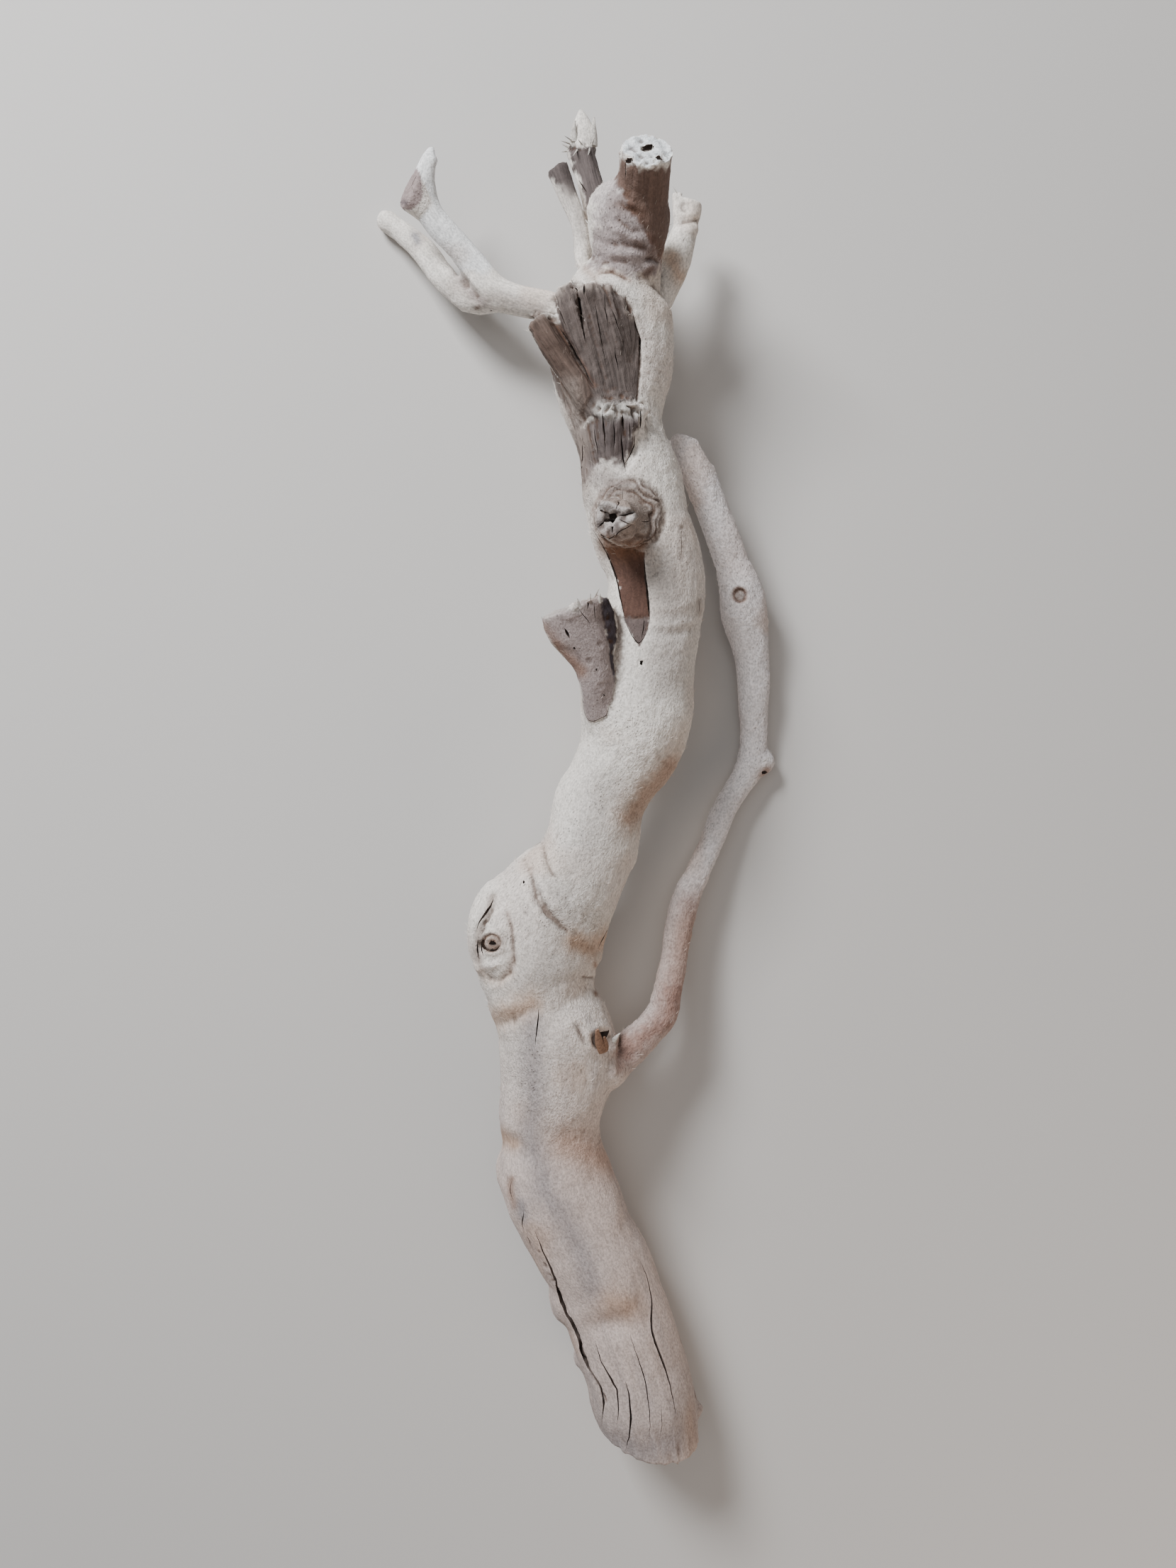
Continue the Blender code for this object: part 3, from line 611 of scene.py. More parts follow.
def join_rings(shape, rings):
    """Makes a closed piece of rings of places, with an end face at the first and the last."""
    rings = [[shape.verts.new(corner * MM) for corner in ring] for ring in rings]
    count = len(rings[0])
    for lower, upper in zip(rings, rings[1:]):
        for k in range(count):
            follow = (k + 1) % count
            shape.faces.new((lower[k], lower[follow], upper[follow], upper[k]))
    shape.faces.new(list(reversed(rings[0])))
    shape.faces.new(rings[-1])


def smoothed_line(line, step):
    """The line's points at equal small steps, with its corners eased."""
    line = np.array(line, dtype=float)
    run = runs_of(line)
    count = max(int(run[-1] / step), 4)
    fine = np.column_stack([np.interp(np.linspace(0, run[-1], count), run, line[:, k]) for k in range(2)])
    ease_corners(fine, 3)
    return fine


def add_wedge(cutter, width, depth, line, tree, seed):
    """A wedge under the line. Its width wavers a little, and it closes at both ends."""
    under = [skin_under(place, tree) for place in smoothed_line(line, 0.9)]
    under = [pair for pair in under if pair[0] is not None]
    if len(under) < 4:
        return
    surface, facing = np.array([pair[0] for pair in under]), np.array([pair[1] for pair in under])
    ease_corners(surface, 6)
    ease_corners(facing, 6)
    out = unit(unit(facing) + 0.8 * unit(EYE - surface))
    side = unit(np.cross(np.gradient(surface, axis=0), out))
    share = np.sin(np.pi * np.linspace(0.015, 0.985, len(surface))) ** 0.7
    waver = 1 + 0.25 * swing(surface, 7.0, seed) + 0.12 * swing(surface, 2.2, seed + 20)
    half = (0.5 * width * share * waver)[:, None]
    shift = (0.3 * swing(surface, 4.0, seed + 40))[:, None] * side
    low = surface - out * (depth * share)[:, None] + shift
    high = surface + out * CRACK_RISE + shift
    spread = half * (1 + CRACK_RISE / depth)
    join_rings(cutter, zip(low, high + side * spread, high - side * spread))


def add_pit(cutter, place, radii, depth, tree, seed):
    """A ragged oval pit under a place, narrower at its bottom."""
    surface, facing = skin_under(np.array(place), tree)
    if surface is None:
        return
    out = unit(facing + unit(EYE - surface))
    wide = unit(np.cross((0, 1, 0), out))
    deep = np.cross(out, wide)
    angles = np.linspace(0, 2 * np.pi, 20, endpoint=False)
    around = np.column_stack((np.cos(angles), np.sin(angles), 0 * angles))
    rough = 1 + 0.4 * swing(around * 2, 1.1, seed)
    sideways = (radii[0] * around[:, 0] * rough)[:, None] * wide
    spokes = sideways + (radii[1] * around[:, 1] * rough)[:, None] * deep
    levels = [(-depth, 0.35), (-0.6 * depth, 0.75), (0.0, 1.0), (CRACK_RISE, 1.15)]
    join_rings(cutter, [surface + out * height + spokes * share for height, share in levels])


def in_rounds(cuts, gap):
    """Sorts cuts into rounds with no two near each other, so that each round is taken off at once."""
    rounds = []
    for cut in cuts:
        line = smoothed_line(cut[-1], 2.0)
        for taken in rounds:
            if all(np.linalg.norm(line[:, None] - other, axis=2).min() > gap for _, other in taken):
                taken.append((cut, line))
                break
        else:
            rounds.append([(cut, line)])
    return [[cut for cut, _ in taken] for taken in rounds]


def mesh_of(shape, name, *materials):
    """A shape's faces as a mesh of its own, turned outwards."""
    bmesh.ops.recalc_face_normals(shape, faces=shape.faces)
    mesh = bpy.data.meshes.new(name)
    shape.to_mesh(mesh)
    shape.free()
    for material in materials:
        mesh.materials.append(material)
    return mesh


def take_off(obj, cutter_shape, name):
    """Takes closed pieces off the object. The cut faces get the dark wood of the cracks."""
    cutter = object_from(mesh_of(cutter_shape, name, crack_wood), name)
    split = obj.modifiers.new(name, "BOOLEAN")
    split.operation = "DIFFERENCE"
    split.solver = "MANIFOLD"
    split.material_mode = "TRANSFER"
    split.object = cutter
    obj.data = finished_mesh(obj)
    obj.modifiers.clear()
    bpy.data.objects.remove(cutter)


skin_wood = bpy.data.materials.new("sandblasted vine wood")
crack_wood = bpy.data.materials.new("dark wood in the cracks")
wood.data.materials.clear()
wood.data.materials.append(skin_wood)
unseen = wood.vertex_groups.new(name="plain side")
for weight, low, high in THINNING:
    unseen.add(np.flatnonzero((normals[:, 2] >= low) & (normals[:, 2] < high)).tolist(), weight, "REPLACE")
thin = wood.modifiers.new("Fewer faces", "DECIMATE")
wood.data.calc_loop_triangles()
thin.ratio = min(1.0, SKIN_TRIANGLES / len(wood.data.loop_triangles))
thin.use_collapse_triangulate = True
thin.vertex_group = "plain side"
thin.vertex_group_factor = 1.0
wood.data = finished_mesh(wood)
wood.modifiers.clear()
wood.vertex_groups.clear()
keep_above_table(wood.data, vertex_positions(wood.data))
tree = BVHTree.FromObject(wood, bpy.context.evaluated_depsgraph_get())
for number, taken in enumerate(in_rounds(CRACKS, CRACK_GAP)):
    wedges = bmesh.new()
    for seed, (width, depth, line) in enumerate(taken):
        add_wedge(wedges, width, depth, line, tree, 10 * number + seed)
    take_off(wood, wedges, f"cracks_{number}")
pits = bmesh.new()
for seed, (place, radii, depth) in enumerate(HOLES):
    add_pit(pits, place, radii, depth, tree, seed)
take_off(wood, pits, "holes")

# Its colours: ivory above, pinkish beige towards the foot, partly painted shade, grey brown
# where the wood is dead, nearly black old bark, and a warm brown painted in the hollows as shade.
IVORY = (230, 223, 215)
BEIGE = (206, 189, 181)
CANE_PALE = (212, 206, 206)
DEAD_GREY = (98, 88, 84)
RIM_GREY = (200, 196, 190)
KNOT_GREY = (178, 171, 167)
SOFT_GREY = (160, 148, 140)
PRONG_BROWN = (92, 76, 68)
PRONG_PALE = (240, 241, 242)
TIER_GREY = (80, 70, 69)
STUB_FACE_PALE = (224, 227, 229)
FOOT_GREY = (140, 130, 127)
UNDER_SHADE_BROWN = (158, 122, 98)
SHADE_GREY = (176, 168, 162)
WRINKLE_SHADE_GREY = (86, 74, 69)
STUB_BROWN = (92, 68, 56)
STUB_SIDE_BROWN = (104, 81, 71)
WAIST_GREY = (150, 140, 137)
TONGUE_BROWN = (92, 68, 59)
TONGUE_GREY = (98, 87, 84)
PANEL_GREY = (154, 141, 138)
BARK_BLACK = (66, 59, 63)
# The warm brown below is the wood's own patches and stains, and also painted shade in hollows and under bulges.
SHADE_AND_STAIN_BROWN = (178, 138, 106)
# The brown below colours scars and knots, and is also painted shade in hollows, creases and under lips.
SCAR_AND_SHADE_BROWN = (134, 98, 76)
COLLAR_GREY = (132, 117, 108)
CANE_ROSE = (146, 116, 105)
RING_BROWN = (114, 88, 74)
NECK_GREY = (156, 144, 142)
HUMP_GREY = (186, 176, 174)
PATCH_ROSE = (184, 154, 138)
TWIG_RING = (132, 103, 86)
BAND_GREY = (152, 144, 144)
FACE_VIOLET = (146, 130, 128)
BLUE_GREY = (110, 112, 120)
CRACK_DARK = (64, 55, 52)
CRACK_LIGHT = (140, 126, 118)
STUB_SIDE = [
    (17, 371), (17, 352), (22, 340), (30, 330), (36, 318), (44, 306), (52, 322), (54, 372), (46, 362),
    (34, 360), (24, 362),
]
NECK = [(0, 303), (2, 318), (8, 334), (16, 352), (30, 332), (40, 318), (46, 306), (40, 297), (20, 300)]
HUMP = [(5, 304), (4, 325), (2, 345), (8, 360), (18, 358), (40, 320), (30, 300)]
THIN_DARK = [(-28, 361), (-12, 371), (-8, 358), (-7, 344), (-12, 342), (-19, 352)]
SPLINTER_GREY = [(-13, 374), (-3, 373), (4, 374), (14, 350), (14, 330), (0, 330), (-4, 352)]
PRONG_FACE = [
    (-103, 364), (-98, 358), (-97, 348), (-98, 341), (-103, 336), (-111, 337), (-117, 344), (-109, 357),
]
TONGUE_TIP = [(20, 98), (36, 98), (35.4, 91), (30, 80), (24, 90)]
# outline, colour, share, softness, wear, and the limbs that it stays on
ZONES = [
    (HUMP, HUMP_GREY, 0.9, 4.0, 0.0, ("trunk", "brown stub")),
    (NECK, NECK_GREY, 0.9, 4.0, 0.0, ("trunk", "brown stub")),
    (STUB_SIDE, STUB_SIDE_BROWN, 0.96, 2.6, 0.45, ("trunk", "brown stub")),
    (TONGUE, TONGUE_BROWN, 1.0, 0.4, 0.35, ()),
    (TONGUE_TIP, TONGUE_GREY, 0.9, 0.4, 0.2, ()),
    (TIER, TIER_GREY, 0.96, 2.6, 0.9, ()),
    (SLAB, DEAD_GREY, 1.0, 0.8, 1.0, ()),
    (SLAB_PRONG, PRONG_BROWN, 0.94, 1.2, 0.9, ()),
    (GREY_PANEL, PANEL_GREY, 1.0, 0.3, 0.12, ()),
    (BARK_STRIP, BARK_BLACK, 1.0, 0.5, 0.8, ()),
    (THIN_DARK, TIER_GREY, 0.95, 2.0, 0.6, ("thin stub", "splinter stub")),
    (SPLINTER_GREY, TIER_GREY, 0.95, 1.2, 0.8, ("splinter stub", "thin stub")),
    (PRONG_FACE, FACE_VIOLET, 0.95, 0.6, 0.2, ()),
]
# width, share, colour and line of stains and of painted shade; the broad ones lie under the zones, the others
# over them
BROAD_STAINS_AND_SHADES = [
    (13, 0.75, SHADE_GREY, [(44, 130), (47, 100), (46, 62)]),
    (13, 0.65, SHADE_GREY, [(8, -4), (3, -28), (-4, -46)]),
    (16, 0.6, SHADE_GREY, [(-12, -68), (-16, -95), (-26, -114)]),
    (8.5, 0.75, BAND_GREY, [(-33, -140), (-32, -170), (-31, -187), (-34, -205), (-28, -225), (-26, -239),
                            (-15, -252), (-4, -275), (3, -296)]),
    (11, 0.85, PATCH_ROSE, [(-12, -211), (-3, -215), (8, -221)]),
    # Painted shade: the brown over the concave band near the foot.
    (9, 0.45, SHADE_AND_STAIN_BROWN, [(14, -304), (24, -306)]),
    (5, 0.6, SHADE_AND_STAIN_BROWN, [(-50, -206), (-44, -211)]),
    (2.5, 0.6, SCAR_AND_SHADE_BROWN, [(-45, -232), (-45.5, -240), (-43, -247)]),
    (4, 0.5, BLUE_GREY, [(-39, -247), (-38, -252)]),
]
STAINS_AND_SHADES = [
    (8, 0.6, BAND_GREY, [(8, -384), (30, -392), (48, -386)]),
    # Painted shade: the brown in the hollow under the belly of the upper trunk.
    (7, 0.65, SHADE_AND_STAIN_BROWN, [(-8, -93), (2, -97), (12, -90)]),
    # Painted shade: the brown under the hump on the waist's right side.
    (9, 0.75, UNDER_SHADE_BROWN, [(24, -20), (35, -6), (48, 10)]),
    # Painted shade: the brown under the bump low on the swelling.
    (8, 0.6, SHADE_AND_STAIN_BROWN, [(-54, -137), (-44, -133), (-34, -128)]),
    (7, 0.65, WAIST_GREY, [(-6, 186), (4, 180), (14, 177)]),
    (3.4, 0.75, DEAD_GREY, [(-6, 204), (-6, 192), (-5, 178)]),
    # Painted shade: the soft grey along the underside of the forked cane.
    (6, 0.7, SOFT_GREY, [(-80, 291), (-66, 285), (-50, 284), (-30, 279)]),
    # Partly painted shade: the cane's own rose tone, laid darker down its lower part, which lies away from the
    # light.
    (9, 0.7, CANE_ROSE, [(51, -122), (55, -98), (60, -70)]),
    # Painted shade: the dark brown line in the notch between the slab's prong and the slab.
    (1.6, 0.85, STUB_BROWN, [(-17, 268), (-13.4, 262.3), (-8.1, 252.7), (-1.7, 242.1), (3.6, 233.5)]),
    # Painted shade: the brown under the lip below the ring knot.
    (3.0, 0.35, SHADE_AND_STAIN_BROWN, [(-63, -110), (-58, -115), (-52, -116.5), (-46, -111.5)]),
    # Painted shade: the faint brown in the crease of the big fold on the swelling.
    (1.6, 0.2, SCAR_AND_SHADE_BROWN, [(-34, -50), (-32.5, -58), (-30, -66), (-25, -74), (-18, -80), (-12, -86)]),
    (1.4, 0.4, SCAR_AND_SHADE_BROWN, [(-47, -76), (-44.5, -85), (-44, -95), (-43, -106)]),
    (2.6, 0.75, COLLAR_GREY, [(-56, -66), (-59, -76), (-64, -86), (-65, -96), (-64, -104)]),
    (5.2, 0.95, RING_BROWN, [RING_KNOT, (-55.9, -93.4)]),
    (1.1, 0.6, SCAR_AND_SHADE_BROWN, ring_of(RING_KNOT, 4.9)),
    (2.2, 0.8, TWIG_RING, [RING_KNOT, (-55.9, -93.4)]),
    # Painted shade: the brown under the right end of that lip.
    (2.0, 0.4, SCAR_AND_SHADE_BROWN, [(-46, -110), (-44.6, -103)]),
    (1.4, 0.8, SCAR_AND_SHADE_BROWN, [(4.2, -105.4), (4.4, -106.4)]),
    (1.4, 0.8, SCAR_AND_SHADE_BROWN, [(4.4, -122.5), (4.6, -123.5)]),
    (5, 0.6, SHADE_AND_STAIN_BROWN, [(49, 308), (54, 297)]),
    (9, 0.95, CANE_ROSE, [(24, -156), (36, -146), (46, -138), (50, -125)]),
    (7, 0.65, SOFT_GREY, [(-11, 232), (-8, 215), (-4, 202)]),
    (3.6, 0.75, RIM_GREY, [(9, 220), (15, 218), (28, 219)]),
    (1.7, 0.7, COLLAR_GREY, [(-6.4, -142), (-5, -146), (-2.6, -150.5)]),
    (5.0, 0.45, SCAR_AND_SHADE_BROWN, [(6.5, -149), (8, -153)]),
    (5, 0.7, CANE_ROSE, [(21, -150), (19, -166)]),
    (3.8, 0.8, COLLAR_GREY, [(88.6, 110.8), (89.2, 110.2)]),
    (1.1, 0.6, SCAR_AND_SHADE_BROWN, ring_of(CANE_EYE, 3.9)),
    (2.6, 0.7, SCAR_AND_SHADE_BROWN, [(103, 5), (105, 8)]),
    (2.0, 0.6, SCAR_AND_SHADE_BROWN, [(7, 300), (14, 300.5), (18, 298.5), (24, 295.2)]),
    (2.2, 0.75, STUB_BROWN, [(33, 298), (38, 302)]),
    (2.6, 0.6, STUB_BROWN, [(29, 316.5), (38, 311)]),
    (3.2, 0.6, STUB_BROWN, [(17, 340), (25, 337), (32, 334)]),
    (3, 0.5, SCAR_AND_SHADE_BROWN, [(-2, 302), (4, 297)]),
    (4, 0.7, SHADE_GREY, [(-13, 347), (-7, 336), (-4, 322)]),
    (4, 0.6, SCAR_AND_SHADE_BROWN, [(-18, 80), (-9, 71), (-4, 66)]),
    (4, 0.4, SCAR_AND_SHADE_BROWN, [(-26, 92), (-21, 84)]),
    (3, 0.5, RIM_GREY, [(-24, 99), (-15, 104), (-7, 103)]),
    (3.2, 0.8, BLUE_GREY, [(-101, 321), (-100, 318)]),
    (3.0, 0.5, FACE_VIOLET, [(-77, 298), (-70, 291), (-62, 281)]),
    (1.4, 0.8, STUB_BROWN, [(-65.5, 279), (-64.5, 279)]),
    (1.4, 0.8, BARK_BLACK, [(-116, 345), (-112, 341), (-107, 341)]),
    (1.2, 0.7, BARK_BLACK, [(-103, 363), (-108, 357), (-116, 346)]),
    (2.0, 0.5, COLLAR_GREY, [(54.6, 151), (54.6, 133)]),
    (2.0, 0.5, COLLAR_GREY, [(65.4, 108), (65.2, 100)]),
    (6, 0.45, COLLAR_GREY, [(-3, 200), (-3, 185), (-2, 168)]),
    (7, 0.35, COLLAR_GREY, [(12, 184), (12, 174)]),
    # Painted shadow: the brown at the top of the tongue, under the knot.
    (6, 0.75, SCAR_AND_SHADE_BROWN, [(10, 140), (20, 137), (30, 138)]),
]
CREAM_BELOW = (60, 240)
HIDING_WOOD = 12.0
STUB_END_DEPTH = 11.0
RIM_COLOURS = (SOFT_GREY, PRONG_BROWN, RIM_GREY, SOFT_GREY)
JOIN = ((18, -160), 7)
BELOW_ROUNDS = 6


def linear(colour):
    """A screen colour, 0 to 255, as the light that it stands for."""
    share = np.array(colour) / 255
    return np.where(share <= 0.04045, share / 12.92, ((share + 0.055) / 1.055) ** 2.4)


def depth_below(mesh, points, normals, rounds):
    """How far each point lies below the skin round it. Points on ridges are negative."""
    smooth = points
    for _ in range(rounds):
        smooth = mean_of_neighbours(mesh, smooth)
    return ((smooth - points) * normals).sum(1)


def in_sight(points, tree):
    """1 for each point that the eye sees, 0 where other wood hides it."""
    sight = np.empty(len(points))
    for number, point in enumerate(points):
        ray = Vector(point - EYE)
        hit = tree.ray_cast(Vector(EYE * MM), ray.normalized())[3]
        sight[number] = hit is None or hit / MM > ray.length - HIDING_WOOD
    return sight


def colours(points, normals, below, tree):
    """The colour of each point, with painted shade in its hollows, and how far it is weathered to grey streaks,
    from 0 to 1.
    """
    places = as_seen(points)
    limb, grain, _, clear = grain_of(points)
    clear = eased(clear, 0.02, 0.2)
    front = eased(normals[:, 2], -0.25, 0.15) * in_sight(points, tree)
    ragged = 0.9 * swing(points, 3.0, 20) + 0.5 * swing(points, 1.3, 21)
    tint = np.empty((len(points), 3))
    weathered = np.zeros(len(points))

    def lay(colour, share):
        tint[:] += (linear(colour) - tint) * np.clip(share, 0, 1)[:, None]

    tint[:] = linear(IVORY)
    # The beige towards the foot is partly the wood's own tone and partly painted shade, darker away from the
    # light.
    lay(BEIGE, eased(-points[:, 1] + 30 * swing(points, 60, 22), *CREAM_BELOW))
    lay(CANE_PALE, 0.9 * clear * limb_is(limb, "side cane"))
    lay(BEIGE, 0.7 * eased(-points[:, 1], 40, 100) * clear * limb_is(limb, "side cane"))
    lay(PRONG_PALE, 0.8 * clear * limb_is(limb, "upper prong"))
    lay(FOOT_GREY, 0.5 * eased(-points[:, 1], 300, 395) * limb_is(limb, "trunk"))
    lay(BEIGE, 0.35 * eased(swing(points, 34, 23), 0.0, 0.6))
    lay(SHADE_AND_STAIN_BROWN, 0.28 * eased(swing(points, 24, 24), 0.2, 0.8))
    bands = eased(swing(grain, (6, 6, 40), 26), 0.2, 0.7)
    lay(BAND_GREY, 0.25 * bands * eased(-points[:, 1], 100, 200) * clear)
    for width, share, colour, line in BROAD_STAINS_AND_SHADES:
        lay(colour, share * front * fading(from_line(places, line)[0] + ragged, width))
    collar = np.linalg.norm(places - KNOT, axis=1)
    lay(COLLAR_GREY, 0.9 * front * (1 - eased(collar + 1.5 * ragged, 19, 24)))
    # Painted shade and highlight: the troughs of the wrinkles round the knot are painted darker grey, their
    # crests lighter.
    wave = wrinkles(points, places, *WRINKLES[0][:4])
    lay(WRINKLE_SHADE_GREY, 0.6 * front * eased(-wave, 0.05, 0.9))
    lay(KNOT_GREY, 0.45 * front * eased(wave, 0.2, 1.0))
    for outline, colour, share, softness, wear, only_limbs in ZONES:
        cover = front * eased(inside(places, outline) + ragged * softness, -0.6 * softness, 0.6 * softness)
        if only_limbs:
            cover = cover * limb_is(limb, *only_limbs)
        lay(colour, share * cover)
        weathered += (wear - weathered) * cover
    face = front * eased(inside(places, KNOT_FACE) + 0.4 * ragged, -0.3, 0.6)
    lay(KNOT_GREY, 0.9 * face)
    # Painted shade: the knot face is painted dark grey where its relief is low, between its lumps.
    lay(DEAD_GREY, 0.85 * face * eased(-swing(points, 3.4, 11), -0.15, 0.4))
    gaps = 0.35 + 0.65 * eased(swing(points, 4.0, 12), -0.25, 0.25)
    for (reach, _, _, line), rim_colour in zip(RAGGED_RIMS, RIM_COLOURS):
        lay(rim_colour, 0.85 * gaps * fading(from_line(places, line)[0] - ragged, 0.8 * reach) * front)
    for width, share, colour, line in STAINS_AND_SHADES:
        lay(colour, share * front * fading(from_line(places, line)[0] + 0.25 * width * ragged, width))
    stub, reach = limb_is(limb, "brown stub"), points @ STUB_END_WAY
    at_end = stub * (reach > reach[stub].max() - STUB_END_DEPTH)
    sawn = at_end * eased(normals @ STUB_END_WAY + 0.05 * ragged, 0.68, 0.82)
    lay(STUB_FACE_PALE, 0.95 * sawn)
    weathered *= 1 - 0.7 * sawn
    # Painted shade: points that lie below the skin round them are painted browner and darker, and ridges a little
    # lighter as painted highlight, with less of it at the cane's join.
    below = below * (1 - 0.85 * fading(np.linalg.norm(places - JOIN[0], axis=1), JOIN[1]))
    lay(SCAR_AND_SHADE_BROWN, 0.5 * eased(below, 0.12, 0.75))
    tint *= (1 - 0.45 * eased(below, 0.05, 0.6) + 0.10 * eased(-below, 0.05, 0.5))[:, None]
    return tint, weathered


def keep_on_points(mesh, name, kind, values, domain="POINT"):
    layer = mesh.attributes.new(name, kind, domain)
    key = {"FLOAT_COLOR": "color", "FLOAT_VECTOR": "vector", "FLOAT": "value"}[kind]
    layer.data.foreach_set(key, np.ascontiguousarray(values, dtype=np.float32).ravel())


def keep_grain(mesh, points):
    """Keeps the grain's places on the faces' corners, so that no face is shared by two limbs."""
    corner_points = values_of(mesh.loops, "vertex_index", 1, np.int32)[:, 0]
    counts = values_of(mesh.polygons, "loop_total", 1, np.int32)[:, 0]
    limb = grain_of(values_of(mesh.polygons, "center", 3).astype(np.float64) / MM)[0]
    grain = grain_of(points[corner_points], np.repeat(limb, counts))[1]
    keep_on_points(mesh, "grain", "FLOAT_VECTOR", grain * MM, "CORNER")


points = vertex_positions(wood.data)
normals = vertex_normals(wood.data)
tree = BVHTree.FromObject(wood, bpy.context.evaluated_depsgraph_get())
below = depth_below(wood.data, points, normals, BELOW_ROUNDS)
tint, weathered = colours(points, normals, below, tree)
limb, _, along, _ = grain_of(points)
keep_on_points(wood.data, "tint", "FLOAT_COLOR", np.column_stack((tint, np.ones(len(tint)))))
keep_on_points(wood.data, "weathered", "FLOAT", weathered)
keep_on_points(wood.data, "pitted", "FLOAT", np.clip(roughness_of(points, limb), 0, 1))
keep_grain(wood.data, points)
wood.data.shade_smooth()
wood.data.set_sharp_from_angle(angle=math.radians(CREASE_ANGLE))


def shader_of(material, roughness, glint):
    """The material's main node, with how rough it is and how much it glints."""
    material.use_nodes = True
    shader = material.node_tree.nodes["Principled BSDF"]
    shader.inputs["Roughness"].default_value = roughness
    shader.inputs["Specular IOR Level"].default_value = glint
    return shader


def node(material, kind, x, y, **settings):
    """A shader node at a place in the graph, with its settings."""
    made = material.node_tree.nodes.new(kind)
    made.location = (x, y)
    for key, value in settings.items():
        setattr(made, key, value)
    return made


def wire(material, start, end):
    material.node_tree.links.new(start, end)


def noise(material, x, y, source, scale, detail, roughness=0.55):
    made = node(material, "ShaderNodeTexNoise", x, y)
    made.inputs["Scale"].default_value = scale
    made.inputs["Detail"].default_value = detail
    made.inputs["Roughness"].default_value = roughness
    wire(material, source, made.inputs["Vector"])
    return made.outputs["Fac"]


def spread(material, x, y, source, low, high, to_low, to_high):
    """Maps a value from one range to another and holds it at both ends."""
    made = node(material, "ShaderNodeMapRange", x, y)
    for name, value in zip(("From Min", "From Max", "To Min", "To Max"), (low, high, to_low, to_high)):
        made.inputs[name].default_value = value
    wire(material, source, made.inputs["Value"])
    return made.outputs["Result"]


def feed(material, sockets, values):
    """Gives each socket its number, or the result of another node."""
    for socket, value in zip(sockets, values):
        if isinstance(value, (int, float)):
            socket.default_value = value
        else:
            wire(material, value, socket)


def combine(material, x, y, operation, first, second):
    made = node(material, "ShaderNodeMath", x, y, operation=operation)
    feed(material, made.inputs, (first, second))
    return made.outputs["Value"]


def blend_of(material, x, y, share, first, second):
    made = node(material, "ShaderNodeMix", x, y, data_type="FLOAT")
    feed(material, (made.inputs[0], made.inputs[2], made.inputs[3]), (share, first, second))
    return made.outputs[0]


def stretched(material, x, y, source, length):
    made = node(material, "ShaderNodeMapping", x, y)
    made.inputs["Scale"].default_value = (1.0, 1.0, 1.0 / length)
    wire(material, source, made.inputs["Vector"])
    return made.outputs["Vector"]


SHORT_GRAIN, LONG_GRAIN = 1.4, 14.0
BUMP_SCALE, FINE_SCALE, STREAK_SCALE, PATCH_SCALE, PIT_SCALE = 900.0, 2200.0, 600.0, 60.0, 650.0
BUMP_DEPTH = 0.0010


